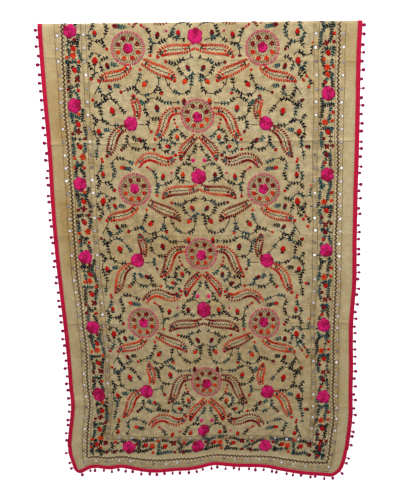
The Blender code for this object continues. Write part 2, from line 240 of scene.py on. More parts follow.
# Vines of the half repeat: places along the stem, and what grows at its end
VINES = (
    (((290, -4), (290, 8), (293, 18), (302, 26), (303, 38), (295, 51), (282, 54), (269, 52),
      (258, 42), (254, 28), (250, 18)), None),
    (((250, 18), (257, 5), (257, -8), (249, -15), (236, -18), (222, -15), (208, -9), (197, -3)), "teal"),
    (((295, 51), (301, 62), (306, 73)), None),
    (((268, 53), (263, 64), (257, 72)), "dot"),
    (((311, 108), (309, 120), (303, 132), (291, 140), (297, 149), (303, 159)), "dot"),
    (((290, 122), (291, 139)), "bare"),
    (((304, 101), (302, 90), (292, 84), (282, 88), (276, 96)), "teal"),
    (((250, 98), (262, 99), (271, 105), (277, 114), (274, 126), (269, 141)), None),
    (((244, 119), (222, 124)), "sprig"),
    (((218, 11), (200, 14)), "sprig"),
    (((277, 168), (284, 182), (291, 193), (298, 206)), "bare"),
    (((284, 182), (281, 193), (276, 203), (264, 209), (251, 204), (240, 196)), None),
    (((240, 181), (214, 181)), "sprig"),
    (((142, 18), (133, 24), (128, 36), (129, 50), (122, 60), (108, 59), (96, 54), (84, 49),
      (74, 41), (67, 32)), None),
    (((122, 60), (127, 70), (128, 88)), "dot"),
    (((67, 32), (60, 42), (50, 47), (38, 46), (28, 51)), None),
    (((67, 32), (63, 18), (57, 7), (47, 0), (34, -4), (22, 2), (14, 9)), None),
    (((50, 121), (64, 117), (80, 113)), "dot"),
    (((50, 121), (45, 110), (34, 105), (22, 105), (11, 97)), None),
    (((50, 121), (47, 133), (39, 145), (28, 152), (14, 151), (5, 142)), None),
    (((14, 151), (14, 165), (16, 180), (22, 195), (36, 202), (52, 203), (66, 196), (76, 188),
      (82, 177)), None),
    (((89, 152), (87, 166), (82, 177)), "bare"),
    (((160, 141), (162, 152), (168, 166), (176, 180), (175, 190), (166, 200), (152, 206),
      (136, 203), (121, 196), (111, 184), (108, 168), (106, 154)), None),
    (((175, 187), (188, 188), (202, 193), (215, 198)), "dot"),
    (((109, 184), (104, 198)), "dot"),
    (((283, 238), (275, 227), (262, 222), (248, 218), (237, 227), (228, 238), (218, 252), (208, 263)), None),
    (((279, 200), (272, 211), (262, 222)), None),
    (((283, 238), (290, 229), (299, 222)), "dot"),
    (((283, 238), (298, 237)), None),
    (((283, 238), (282, 252), (280, 265), (275, 280)), None),
    (((308, 261), (304, 272), (293, 280), (275, 280), (266, 288), (254, 295), (236, 296), (216, 296)), None),
    (((291, 281), (301, 290), (306, 305), (305, 320), (299, 333), (288, 330), (283, 319)), None),
    (((278, 309), (261, 307)), "sprig"),
    (((299, 333), (296, 347), (299, 361), (303, 378), (304, 398)), "teal"),
    (((174, 294), (157, 294)), "bare"),
    (((140, 277), (147, 290), (144, 302), (140, 309)), "dot"),
    (((98, 228), (108, 218), (124, 214), (139, 217), (151, 230), (154, 246), (148, 262), (134, 274),
      (118, 275), (105, 275)), None),
    (((98, 228), (82, 230), (66, 229), (49, 228)), None),
    (((168, 220), (155, 233)), "sprig"),
    (((83, 318), (74, 311), (63, 305), (53, 312), (47, 324), (37, 330)), None),
    (((83, 318), (82, 330), (81, 340), (96, 340), (110, 338), (117, 350), (113, 364), (102, 373),
      (90, 372), (84, 362)), None),
    (((81, 340), (74, 348), (63, 350)), None),
    (((80, 371), (72, 380)), "dot"),
    (((208, 324), (212, 336), (211, 347), (203, 357), (192, 365), (178, 368), (165, 362),
      (158, 350), (163, 335)), None),
    (((211, 349), (218, 357), (225, 364)), "dot"),
    (((163, 362), (150, 364), (134, 366)), "dot"),
    (((196, 328), (186, 338)), "sprig"),
    (((8, 350), (11, 366), (19, 379), (29, 388), (31, 401)), "teal"),
)

# Buds that stand inside the vines' loops: from the middle line, down, heading in degrees, length, thread
BUDS = (
    (286, 28, 95, 15, "red"),
    (228, 9, 10, 15, "orange"),
    (289, 108, 98, 20, "red"),
    (255, 121, 70, 14, "maroon"),
    (252, 183, 60, 13, "maroon"),
    (107, 34, 100, 15, "red"),
    (48, 29, 90, 15, "orange"),
    (23, 127, 60, 15, "maroon"),
    (33, 168, -50, 16, "orange"),
    (150, 176, -50, 17, "orange"),
    (248, 252, 75, 19, "red"),
    (292, 313, 85, 16, "red"),
    (313, 358, 170, 12, "red"),
    (37, 223, 95, 14, "orange"),
    (117, 243, 80, 17, "red"),
    (62, 329, 80, 14, "orange"),
    (92, 357, 20, 13, "red"),
    (173, 337, 50, 13, "maroon"),
)

# Small satin dots: from the middle line, down, size, thread
DOTS = (
    (160, 134, 10, "orange"),
    (286, -9, 10, "red"),
    (82, 24, 9, "dusty pink"),
    (17, 399, 13.5, "hot pink"),
    (68, 278, 8, "maroon"),
    (66, 289, 8, "red"),
    (61, 300, 9, "orange"),
    (153, 8, 9, "red"),
    (146, 13, 8, "dusty pink"),
    (139, 18, 7, "maroon"),
    (172, -4, 9, "dusty pink"),
    (288, 395, 9, "red"),
)

# What fills the wider right side of the field, beyond the half repeat
RIGHT_VINES = (
    (((328, 66), (326, 88), (332, 103), (335, 116), (329, 128), (334, 142)), "teal"),
    (((326, 88), (312, 93), (302, 88)), "bare"),
    (((294, 122), (308, 142), (320, 160), (325, 175)), None),
)
RIGHT_DOTS = ((328, 61, 11, "orange"), (312, 152, 9, "red"), (318, 183, 11, "orange"))

# One pitch of the border's flower band. Places are inward of the band's middle, and along from a
# raised flower.
BAND_PITCH = 212.0
BAND_STEMS = (
    ((-12, 6), (-10, 20), (-9, 34), (-8, 47), (-4, 61), (-2, 74)),
    ((-16, 84), (-12, 97), (-11, 112), (-10, 126), (-14, 138)),
    ((-17, 30), (-6, 29), (6, 31), (17, 34)),
    ((-15, 90), (-4, 91), (9, 88), (17, 91)),
    ((24, 8), (23, 20), (17, 33), (21, 46), (24, 58), (26, 74), (27, 84)),
    ((23, 96), (20, 107), (21, 119), (16, 128), (17, 140)),
    ((15, 150), (9, 158), (3, 162), (-4, 158), (-6, 148)),
    ((-14, 156), (-9, 166), (-12, 178), (-13, 192)),
    ((2, 170), (9, 177), (14, 186), (17, 200)),
)
BAND = (
    ("dot", 11, 23, 0, "maroon"),
    ("bud", 8, 51, 60, "red"),
    ("floret", 6, 70, 10, "orange"),
    ("dot", -11, 75, 0, "orange"),
    ("dot", 22, 88, 0, "orange"),
    ("bud", 7, 111, 58, "red"),
    ("floret", 13, 137, 45, "maroon"),
    ("dot", -13, 142, 0, "maroon"),
    ("dot", -16, 168, 0, "maroon"),
    ("dot", 14, 168, 0, "red"),
)

RIGHT_BAND = (
    ("dot", -16, 49, 0, "red"),
    ("floret", 9, 75, 20, "orange"),
    ("dot", -15, 72, 0, "orange"),
    ("bud", 1, 100, 120, "red"),
    ("dot", 14, 118, 0, "maroon"),
    ("floret", 2, 139, 45, "maroon"),
    ("dot", -16, 137, 0, "maroon"),
    ("bud", 3, 160, 120, "maroon"),
    ("dot", 9, 181, 0, "red"),
)

# The border's lines: off the side edge, off the hem
RUNNING_LINES = ((35, 7), (61, 35), (110, 97), (124, 110))
CHAIN_LINE = (51, 32)
MIRROR_LINES = ((40.5, 20), (117, 103.5))
MIRROR_PITCH = 38.3
RUNNING_PITCH = 6.8
RUNNING_SHARE = 0.78
CHAIN_PITCH = 6.0
CHAIN_REACH = 4.0

# How far the stitches of each kind lie apart
SATIN_PITCH = 2.0
PETAL_PITCH = 2.1
SPRIG_STEP = 6.0
VINE_STEP = 5.2
VINE_LEAF_STEP = 8.4
BAND_STEM_STEP = 6.6
FEATHER_STEP = 3.25

# A medallion's rings of stitches: radius, count, length, slant in degrees
MEDALLION_RIM = (46.2, 48, 8.6, 20)
MEDALLION_RINGS = ((39.6, 50, 4.6, 8), (36.2, 30, 3.4, 60), (20.5, 26, 5.0, 12))

# The stage, in metres: the floor, each light's place, size and power, and the camera
FLOOR_SIZE = 6
FLOOR_DROP = 0.0004
LIGHTS = {
    "key": ((-0.2, 1.8, 1.65), 1.1, 45),
    "fill": ((1.3, 1.0, 2.4), 1.2, 10),
    "overhead": ((0.0, -0.5, 3.4), 1.3, 18),
}
LIGHTS_AIM = (0, 0.1, 0)
LENS = 54
SENSOR_WIDTH = 36
CAMERA_TILT = 13
CAMERA_DISTANCE = 2.2795
AIM_DOWN = 0.6645
AIM_HEIGHT = 0.0035

# Pompoms on their threads
POMPOM_SPACING = 25.0
POMPOM_OUT = {"left": 7.6, "right": 8.4, "hem": 6.6}
POMPOM_REST = 4.9
HEM_TAPE_START = 1318.0
POMPOM_MARGIN = 10.0
BALL_RADII = (5.2, 4.6, 4.2)
YARN_RADIUS = 1.6
TAPE_HALF_THICKNESS = 1.3


def linear(hex_colour, strength=1.0):
    """An sRGB hex colour as the linear colour that shaders take, dimmed or brightened by its strength."""
    channels = [int(hex_colour[k:k + 2], 16) / 255 for k in (0, 2, 4)]
    levels = [c / 12.92 if c <= 0.04045 else ((c + 0.055) / 1.055) ** 2.4 for c in channels]
    return (*(strength * level for level in levels), 1)


def fill(material, node, inputs):
    """Links or sets a node's inputs: each name or number has its source socket or its constant."""
    for place, value in inputs.items():
        if isinstance(value, bpy.types.NodeSocket):
            material.node_tree.links.new(value, node.inputs[place])
        else:
            node.inputs[place].default_value = value


def add_node(material, kind, inputs, **settings):
    """Adds one shader node with its settings and inputs, and gives its outputs."""
    node = material.node_tree.nodes.new(f"ShaderNode{kind}")
    for name, value in settings.items():
        setattr(node, name, value)
    fill(material, node, inputs)
    return node.outputs


def new_material(name):
    """A named material and its principled shader."""
    material = bpy.data.materials.new(name)
    material.use_nodes = True
    return material, material.node_tree.nodes["Principled BSDF"]


def unit(vectors):
    """Vectors brought to a length of 1."""
    return vectors / np.linalg.norm(vectors, axis=-1, keepdims=True)


def lengths_along(points):
    """How far each point lies along the line through them all."""
    return np.concatenate([[0], np.cumsum(np.linalg.norm(np.diff(points, axis=0), axis=1))])


def ease(share):
    """0 to 1 with a level start and end."""
    share = np.clip(share, 0, 1)
    return share * share * (3 - 2 * share)


def through(rows, column, place):
    """A smooth curve through a table's rows: its first column is the place, another the value."""
    table = np.array(rows, float)
    place = np.clip(place, table[0, 0], table[-1, 0])
    high = np.clip(np.searchsorted(table[:, 0], place), 1, len(table) - 1)
    low = high - 1
    before, after = np.maximum(low - 1, 0), np.minimum(high + 1, len(table) - 1)
    at, value = table[:, 0], table[:, column]
    span = at[high] - at[low]
    t = (place - at[low]) / span
    rise_in = (value[high] - value[before]) / (at[high] - at[before]) * span
    rise_out = (value[after] - value[low]) / (at[after] - at[low]) * span
    return (
        (2 * t**3 - 3 * t**2 + 1) * value[low]
        + (t**3 - 2 * t**2 + t) * rise_in
        + (3 * t**2 - 2 * t**3) * value[high]
        + (t**3 - t**2) * rise_out
    )


def round_corners(across, down):
    """Bends the panel's square lower corners to arcs."""
    for corner, radius, *_ in CORNERS:
        side = math.copysign(1, corner)
        sideways = np.clip(1 - (HALF_WIDTH - side * across) / radius, 0, 1)
        downward = np.clip(1 - (SHOWN_LENGTH - down) / radius, 0, 1)
        across = across + side * radius * sideways * (np.sqrt(1 - downward**2 / 2) - 1)
        down = down + radius * downward * (np.sqrt(1 - sideways**2 / 2) - 1)
    return across, down


def floor_plan(across, down):
    """Where a point of the panel lies, seen from above."""
    across, down = round_corners(across, down)
    left, right = through(SIDE_EDGES, 1, down), through(SIDE_EDGES, 2, down)
    share = across / (2 * HALF_WIDTH) + 0.5
    hem_share = np.clip(1 - (SHOWN_LENGTH - down) / HEM_REACH, 0, None) ** 2
    tilt = FOLD_TILT * (1 - 2 * share) * (1 - ease(down / FOLD_TILT_REACH))
    x = left + (right - left) * share
    y = -(down + tilt + through(HEM_LINE, 1, across) * hem_share)
    for corner, _, shift_across, shift_down, reach in CORNERS:
        pull = ease(1 - np.hypot(across - corner, down - SHOWN_LENGTH) / reach)
        x = x + shift_across * pull
        y = y - shift_down * pull
    return x, y


def forms(across, down):
    """Creases, hem folds, puckers and small wrinkles, as height."""
    total = np.zeros(np.broadcast(across, down).shape)
    for place, slope, half_width, height, _ in CREASES:
        wander = 2.2 * np.sin(across / 61 + place) + 1.3 * np.sin(across / 23 + 2 * place)
        off = (down - place - slope * across + wander) / half_width
        uneven = 0.62 + 0.22 * np.sin(across / 52 + place) + 0.16 * np.sin(across / 19 + 3 * place)
        total += height * uneven * (np.exp(-off * off) - 0.35 * np.exp(-((off - 2.2) ** 2)))
    up = SHOWN_LENGTH - down
    for place, lean, half_width, height, reach in HEM_FOLDS:
        off = (across - place - lean * up) / half_width
        total += height * np.clip(1 - up / reach, 0, None) ** 1.5 * np.exp(-off * off)
    for place, drop, heading, half_length, half_width, height in PUCKERS:
        turn = math.radians(heading)
        along = ((across - place) * math.cos(turn) + (down - drop) * math.sin(turn)) / half_length
        aside = ((down - drop) * math.cos(turn) - (across - place) * math.sin(turn)) / half_width
        total += height * np.exp(-along * along - aside * aside)
    return total + wrinkles(across, down)


def wrinkles(across, down):
    """The slight unevenness of cloth drawn up by its stitches."""
    rng = np.random.default_rng(7)
    total = np.zeros(np.broadcast(across, down).shape)
    for length in (150, 120, 95, 80, 66, 54, 45, 38, 32, 27):
        turn, phase = rng.uniform(0, math.pi), rng.uniform(0, math.tau)
        wave = (across * math.cos(turn) + down * math.sin(turn)) / length * math.tau
        total += 0.0028 * length * np.sin(wave + phase)
    return total


def top_height(across, down):
    """Upper side of the shown layer."""
    rest = (WALL + LAYER_GAP) * (1 - ease((down - STEP_DOWN[0]) / (STEP_DOWN[1] - STEP_DOWN[0])))
    loft = (FOLD_HEIGHT - 2 * WALL - LAYER_GAP) * (1 - ease((down - FOLD_RADIUS) / FOLD_SETTLE))
    lift = forms(across, down) * ease(down / FORM_START)
    return np.maximum(rest + WALL + loft + lift, WALL)


def cloth_unshifted(across, down):
    """The cloth's outer side, in the table's own millimetres."""
    across, down = np.broadcast_arrays(np.asarray(across, float), np.asarray(down, float))
    hidden = down < FOLD_END
    under = FOLD_RADIUS + FOLD_END - down
    flat_down = np.where(hidden, under, np.maximum(down, FOLD_RADIUS))
    inset = np.where(hidden, HIDDEN_INSET * ease(under / INSET_SETTLE), 0)
    x, y = floor_plan(across * (1 - inset / HALF_WIDTH), flat_down)
    turn = np.clip((FOLD_RADIUS - down) / FOLD_RADIUS, 0, math.pi)
    z = FOLD_RADIUS + (top_height(across, flat_down) - FOLD_RADIUS) * np.cos(turn)
    z = np.where(hidden, 0.0, z)
    return np.stack([x, y + FOLD_RADIUS * np.sin(turn), z], axis=-1)


def find_shift():
    """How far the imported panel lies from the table's own millimetres."""
    across, down = np.meshgrid(np.linspace(-HALF_WIDTH, HALF_WIDTH, 181), np.linspace(-3, SHOWN_LENGTH, 280))
    points = cloth_unshifted(across, down).reshape(-1, 3)
    low, high = (np.array(corner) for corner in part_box("panel"))
    middle = (low + high) / 2 / MM - (points.min(0) + points.max(0)) / 2
    return np.array([middle[0], middle[1], 0.0])


SHIFT = find_shift()


def on_cloth(across, down):
    """The cloth's outer side in metres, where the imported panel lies."""
    return (cloth_unshifted(across, down) + SHIFT) * MM


def cloth_normal(across, down):
    """The way out of the cloth's outer side."""
    step = 0.6
    by_across = on_cloth(across + step, down) - on_cloth(across - step, down)
    by_down = on_cloth(across, down + step) - on_cloth(across, down - step)
    return unit(np.cross(by_down, by_across))


def mesh_of(bm, name):
    """A named mesh of the bmesh, which is used up."""
    mesh = bpy.data.meshes.new(name)
    bm.to_mesh(mesh)
    bm.free()
    return mesh


def give_values(mesh, name, values):
    """A value for each point of a mesh, which its material reads."""
    mesh.attributes.new(name, "FLOAT", "POINT").data.foreach_set("value", values)


def new_piece(name, mesh, *materials):
    """Links a mesh as an object at the origin that rides with the shawl."""
    for material in materials:
        mesh.materials.append(material)
    piece = bpy.data.objects.new(name, mesh)
    bpy.context.scene.collection.objects.link(piece)
    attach(piece, "root")
    return piece


def shape_of(bm):
    """A small shape's corners and faces as arrays, ready to be copied; the bmesh is used up."""
    bm.verts.ensure_lookup_table()
    corners = np.array([vert.co for vert in bm.verts])
    faces = [[vert.index for vert in face.verts] for face in bm.faces]
    bm.free()
    return corners, faces


def joined_copies(name, batches, materials, smooth=True):
    """One mesh of many copies. A batch is faces, each copy's points, its material, and each point's shade."""
    points, loops, sizes, slots, shades = [], [], [], [], []
    first = 0
    for faces, copies, slot, shade in batches:
        count, corners = copies.shape[:2]
        loop = np.array([corner for face in faces for corner in face])
        starts = first + corners * np.arange(count)
        loops.append((loop[None, :] + starts[:, None]).ravel())
        sizes.append(np.tile([len(face) for face in faces], count))
        slots.append(np.repeat(slot, len(faces)))
        points.append(copies.reshape(-1, 3))
        shades.append(shade.ravel())
        first += count * corners
    sizes = np.concatenate(sizes)
    mesh = bpy.data.meshes.new(name)
    mesh.vertices.add(first)
    mesh.vertices.foreach_set("co", np.concatenate(points).ravel())
    mesh.loops.add(int(sizes.sum()))
    mesh.loops.foreach_set("vertex_index", np.concatenate(loops))
    mesh.polygons.add(len(sizes))
    mesh.polygons.foreach_set("loop_start", np.concatenate([[0], np.cumsum(sizes)[:-1]]))
    mesh.polygons.foreach_set("material_index", np.concatenate(slots).astype(int))
    mesh.update(calc_edges=True)
    give_values(mesh, "shade", np.concatenate(shades))
    if smooth:
        mesh.shade_smooth()
    else:
        mesh.shade_flat()
    return new_piece(name, mesh, *materials)


def thread_shape(rings, shoulder):
    """A stitch of unit size along X: a crest and two sides, drawn in to a point past its shoulders."""
    bm = bmesh.new()
    bmesh.ops.create_uvsphere(bm, u_segments=4, v_segments=rings, radius=0.5)
    bmesh.ops.rotate(bm, verts=bm.verts[:], matrix=Matrix.Rotation(math.pi / 2, 3, "Y"))
    for vert in bm.verts:
        radius = math.hypot(vert.co.y, vert.co.z)
        if radius > 0.01 and rings == 3:
            vert.co.x = math.copysign(shoulder, vert.co.x)
            vert.co.y *= 0.5 / radius
            vert.co.z *= 0.5 / radius
        vert.co.z += 0.5
    return shape_of(bm)


# How each stitch is drawn: rings along it, and where its shoulders are
STITCH_SHAPES = {"stitch": (3, 0.36), "leaf": (3, 0.22), "arched": (6, 0)}

# The lowest down of a stitch's near end, a little round the fold
FOLD_TOP = -4.0


class Needlework:
    """Stitches waiting to be laid on the cloth, each with its place, size and thread."""

    def __init__(self, seed):
        self.places = {shape: [] for shape in STITCH_SHAPES}
        self.rng = np.random.default_rng(seed)

    def sew(self, start, end, thread, width, height=None, shape="stitch", lift=0.0, arch=0.0):
        """One stitch from start to end, its middle raised by the arch."""
        span = np.subtract(end, start)
        length = math.hypot(*span)
        if length < 0.2:
            return
        middle = np.add(start, end) / 2
        height = 0.75 * width if height is None else height
        shade = self.rng.uniform(-0.5, 0.5)
        size = (length, width, height, lift, arch)
        self.places[shape].append((*middle, *(span / length), *size, THREAD_NAMES.index(thread), shade))

    def sew_about(self, middle, reach, thread, width, height):
        """One stitch that reaches as far to both sides of its middle."""
        self.sew(middle - reach, middle + reach, thread, width, height)

    def keep_within(self, half_width, end):
        """Drops the stitches outside the field's border."""
        for shape, rows in self.places.items():
            self.places[shape] = [
                row for row in rows
                if abs(row[0]) < half_width and row[1] < end and FOLD_TOP < row[1] - abs(row[3] * row[4]) / 2
            ]

    def lay(self, name, threads):
        """Makes the piece: every stitch bent onto the cloth."""
        used = sorted({int(row[9]) for rows in self.places.values() for row in rows})
        batches = []
        for shape, (rings, shoulder) in STITCH_SHAPES.items():
            rows = np.array(self.places[shape], float)
            if len(rows):
                corners, faces = thread_shape(rings, shoulder)
                copies = bent_onto_cloth(corners, rows)
                slots = np.searchsorted(used, rows[:, 9].astype(int))
                # Each stitch's tone differs at random; on top of it, painted light on the crest and painted
                # shade down the sides
                shade = rows[:, 10:11] + 0.9 * (corners[None, :, 2] - 0.5)
                batches.append((faces, copies, slots, shade))
        return joined_copies(name, batches, [threads[THREAD_NAMES[k]] for k in used])


def bent_onto_cloth(corners, rows, sink=0.4):
    """Points of each copy of a unit shape, placed, sized and bent onto the cloth, sunk a little into it."""
    across, down, toward, downward, length, width, height, lift, arch = (rows[:, k:k + 1] for k in range(9))
    along, aside, up = corners[None, :, 0] * length, corners[None, :, 1] * width, corners[None, :, 2] * height
    place_across = across + along * toward + aside * downward
    place_down = down + along * downward - aside * toward
    surface = on_cloth(place_across, place_down)
    normal = cloth_normal(place_across, place_down)
    raised = lift + arch * (1 - 4 * corners[None, :, 0] ** 2)
    return surface + normal * ((up - sink * height + raised) * MM)[..., None]


def smooth_line(points, spacing):
    """Even places along a smooth curve through a few points."""
    points = np.array(points, float)
    if len(points) == 2:
        fine = points[0] + (points[1] - points[0]) * np.linspace(0, 1, 40)[:, None]
    else:
        ends = np.vstack([2 * points[0] - points[1], points, 2 * points[-1] - points[-2]])
        t = np.linspace(0, 1, 16, endpoint=False)[:, None]
        spans = []
        for a, b, c, d in zip(ends, ends[1:], ends[2:], ends[3:]):
            bend, twist = 2 * a - 5 * b + 4 * c - d, 3 * b - a - 3 * c + d
            spans.append(0.5 * (2 * b + (c - a) * t + bend * t**2 + twist * t**3))
        fine = np.vstack([*spans, points[-1:]])
    lengths = lengths_along(fine)
    count = max(2, round(lengths[-1] / spacing) + 1)
    at = np.linspace(0, lengths[-1], count)
    return np.stack([np.interp(at, lengths, fine[:, k]) for k in (0, 1)], axis=1)


def turned(direction, degrees):
    """A direction turned on the cloth."""
    turn = math.radians(degrees)
    x, y = direction
    return np.array([x * math.cos(turn) - y * math.sin(turn), x * math.sin(turn) + y * math.cos(turn)])


def heading(degrees):
    """A direction on the cloth."""
    return np.array([math.cos(math.radians(degrees)), math.sin(math.radians(degrees))])


def sew_leaf_pair(work, at, forward, thread, length=9.3, width=4.3):
    """Two leaves that leave a stem, leaning forwards."""
    for turn in (-44, 44):
        way = turned(forward, turn + work.rng.uniform(-9, 9))
        size = length * work.rng.uniform(0.85, 1.12)
        work.sew(at + way * 0.7, at + way * size, thread, width, 1.9, "leaf")


def sew_sprig(work, at, way, thread, pairs=3):
    """A short twig of leaf pairs and a last leaf."""
    at = np.array(at, float)
    end = at + way * (SPRIG_STEP * pairs - 1)
    work.sew(at, end, thread, 1.8, 1.2)
    for k in range(pairs):
        sew_leaf_pair(work, at + way * SPRIG_STEP * k, way, thread)
    work.sew(end, end + way * 7.5, thread, 3.2, 1.9, "leaf")


def sew_satin(work, at, way, length, width, thread, lift=0.2):
    """An oval filled with long stitches side by side."""
    side = turned(way, 90)
    count = max(2, round(width / SATIN_PITCH))
    for k in range(count):
        off = (k + 0.5) / count * 2 - 1
        half = length / 2 * (1 - 0.55 * abs(off) ** 1.6) * work.rng.uniform(0.93, 1.07)
        middle = np.array(at) + side * off * width / 2
        work.sew(middle - way * half, middle + way * half, thread, 2.7, 2.2, "stitch", lift)


def sew_bud(work, at, way, length, thread, cup, fullness=0.7):
    """A satin bud in a cup of dark leaves."""
    at = np.array(at, float)
    sew_satin(work, at, way, 1.2 * length, fullness * length, thread)
    foot = at - way * length * 0.55
    for side in (-1, 1):
        edge = at + turned(way, 90 * side) * 0.52 * length
        work.sew(foot, edge, cup, 3.6, 1.8, "leaf")
    sew_leaf_pair(work, foot - way * 4.5, way, cup, 8.5)
    work.sew(foot + way, foot - way * 6, "brown", 2.4, 1.3)


def sew_dot(work, at, size, thread):
    """A small satin dot, turned by chance."""
    sew_satin(work, at, heading(work.rng.uniform(0, 180)), size, size * 0.85, thread)


def sew_floret(work, at, turn, thread, petals=5, reach=11.5):
    """A small flower of satin petals."""
    for k in range(petals):
        way = heading(turn + 360 * k / petals)
        size = reach * work.rng.uniform(0.88, 1.12)
        sew_satin(work, np.array(at) + way * size * 0.52, way, size * 1.04, size * 0.6, thread)


def sew_leafed_stem(work, points, leaf):
    """A twig leafed all the way, in pairs."""
    line = smooth_line(points, BAND_STEM_STEP)
    for a, b in zip(line, line[1:]):
        way = unit(b - a)
        work.sew(a - (b - a) * 0.1, b + (b - a) * 0.1, "black brown", 2.3, 1.4)
        if work.rng.random() < 0.25:
            leaf = work.rng.choice(["navy", "teal"])
        if work.rng.random() < 0.88:
            sew_leaf_pair(work, a, way, leaf, 8.8, 4.2)
    work.sew(line[-1], line[-1] + way * 7, leaf, 3.8, 1.9, "leaf")


def sew_vine(work, points, end):
    """A stem with groups of leaf pairs, which ends in a bud, a dot or nothing."""
    if end == "sprig":
        way = unit(np.subtract(points[-1], points[0]))
        sew_sprig(work, points[0], way, work.rng.choice(["teal", "teal", "navy"]))
        return
    line = smooth_line(points, VINE_STEP)
    ways = unit(np.diff(line, axis=0))
    for a, b in zip(line, line[1:]):
        work.sew(a - (b - a) * 0.12, b + (b - a) * 0.12, "black brown", 2.6, 1.5)
    if end == "bare":
        return
    leaves = ["teal", "teal", "navy"] if end == "teal" else ["navy", "navy", "teal"]
    leaf = work.rng.choice(leaves)
    place = work.rng.uniform(1, 6)
    length = VINE_STEP * len(ways)
    while place < length:
        for _ in range(work.rng.choice([2, 3, 3])):
            if place < length:
                k = min(len(ways) - 1, int(place / VINE_STEP))
                sew_leaf_pair(work, line[k] + ways[k] * (place - VINE_STEP * k), ways[k], leaf)
            place += VINE_LEAF_STEP
        place += work.rng.uniform(9, 20)
        leaf = work.rng.choice(leaves)
    if end == "dot":
        sew_dot(work, line[-1] + ways[-1] * 4.5, 10.5, work.rng.choice(["red", "orange", "red", "maroon"]))


def feather_half_width(share, widest):
    """Half width of a feather at a share of the way to its tip."""
    return widest * (0.62 + 0.38 * np.minimum(1, share / 0.5)) * (1 - share**5) ** 0.7


def sew_dash(work, middle, way, length, thread, width=2.7):
    """A bold dash: two threads side by side."""
    side = turned(way, 90) * 0.36 * width
    for sign in (-1, 1):
        slip = way * work.rng.uniform(-0.5, 0.5)
        a, b = middle - way * length / 2 + slip, middle + way * length / 2 + slip
        work.sew(a + side * sign, b + side * sign, thread, width, 0.75 * width, lift=0.1)


def sew_feather(work, points, widest, outer, inner):
    """A curved feather: two edges of slanted dashes, a zigzag along the middle, leaves and dots."""
    line = smooth_line(points, FEATHER_STEP)
    ways = unit(np.gradient(line, axis=0))
    count = len(line)
    for k in [*range(0, count - 3, 2), count - 2, count - 1]:
        share = k / (count - 1)
        half = feather_half_width(share, widest)
        for side, thread in ((-1, outer), (1, inner)):
            edge = line[k] + turned(ways[k], 90 * side) * half
            way = turned(ways[k], (64 - 40 * max(0, share - 0.8) / 0.2) * side)
            if share > 0.74 and thread == "orange":
                thread = "red"
            sew_dash(work, edge, way, 9.6 - 2.2 * max(0, share - 0.8) / 0.2, thread)
    middle = line[round(count * 0.14):round(count * 0.8)]
    for k, (a, b) in enumerate(zip(middle[::2], middle[2::2])):
        side = turned(unit(b - a), 90) * (2.2 if k % 2 else -2.2)
        work.sew(a - side, b + side, "black brown", 2.5, 1.4)
        work.sew_about((a + b) / 2 + side * 1.2, (b - a) * 0.35, "cream", 2.5, 1.2)
    root, tip = round(count * 0.1), round(count * 0.78)
    sew_sprig(work, line[root] - ways[root] * 4, ways[root], "navy", 1)
    sew_sprig(work, line[tip], ways[tip], work.rng.choice(["navy", "teal"]), 2)
    for k in (root + 3, tip - 2):
        sew_dot(work, line[k], 8.5, work.rng.choice(["red", "maroon", "orange"]))


def sew_medallion(work, at, top):
    """Rings of stitches and eight florets around a raised heart."""
    at = np.array(at, float)
    radius, count, length, turn = MEDALLION_RIM
    for k in range(count):
        way = heading(360 * (k + work.rng.uniform(-0.15, 0.15)) / count)
        sew_dash(work, at + way * radius, turned(way, turn), length, "dusty pink", 2.35)
    for radius, count, length, turn in MEDALLION_RINGS:
        for k in range(count):
            way = heading(360 * k / count)
            work.sew_about(at + way * radius, turned(way, turn) * length / 2, "grey brown", 2.7, 1.2)
    for k in range(8):
        turn = 45 * k + 22
        way = heading(turn)
        thread = "maroon" if way[1] < -0.25 else ("red" if way[0] * top > 0.3 else "orange")
        sew_floret(work, at + way * 30, turn + work.rng.uniform(-20, 20), thread, 5, 8.4)
        gap = heading(turn + 22.5)
        work.sew(at + gap * 31.5, at + gap * 36.5, thread, 2.4, 1.2)
        work.sew(at + gap * 24.5, at + gap * 29, "grey brown", 2.2, 1.1)


def repeat_place(side, repeat, place):
    """A place of the half repeat, on the cloth."""
    begin, stretch = repeat
    off, down = place
    if side > 0:
        off = off + 0.08 * max(0, off - 215)
    return np.array([MIDDLE_LINE + side * off, begin + down * stretch])


def border_line(off_side, off_hem, spacing, start=-1.0):
    """Even places down the left border, along the hem and up the right one."""
    across, down = HALF_WIDTH - off_side, SHOWN_LENGTH - off_hem
    runs = [(-across, start), (-across, down), (across, down), (across, start)]
    places = []
    for (x0, y0), (x1, y1) in zip(runs, runs[1:]):
        count = round(math.hypot(x1 - x0, y1 - y0) / spacing)
        share = np.arange(count)[:, None] / count
        places.append(np.array([x0, y0]) + share * np.array([x1 - x0, y1 - y0]))
    line = np.vstack(places)
    along = np.arange(len(line)) * spacing
    line[:, 0] += 1.3 * np.sin(along / 67) + 0.8 * np.sin(along / 26 + 1)
    return line


def swapped_threads(band):
    """The band with its orange and maroon threads changed over."""
    other = {"orange": "maroon", "maroon": "orange"}
    return [(*place, other.get(thread, thread)) for *place, thread in band]


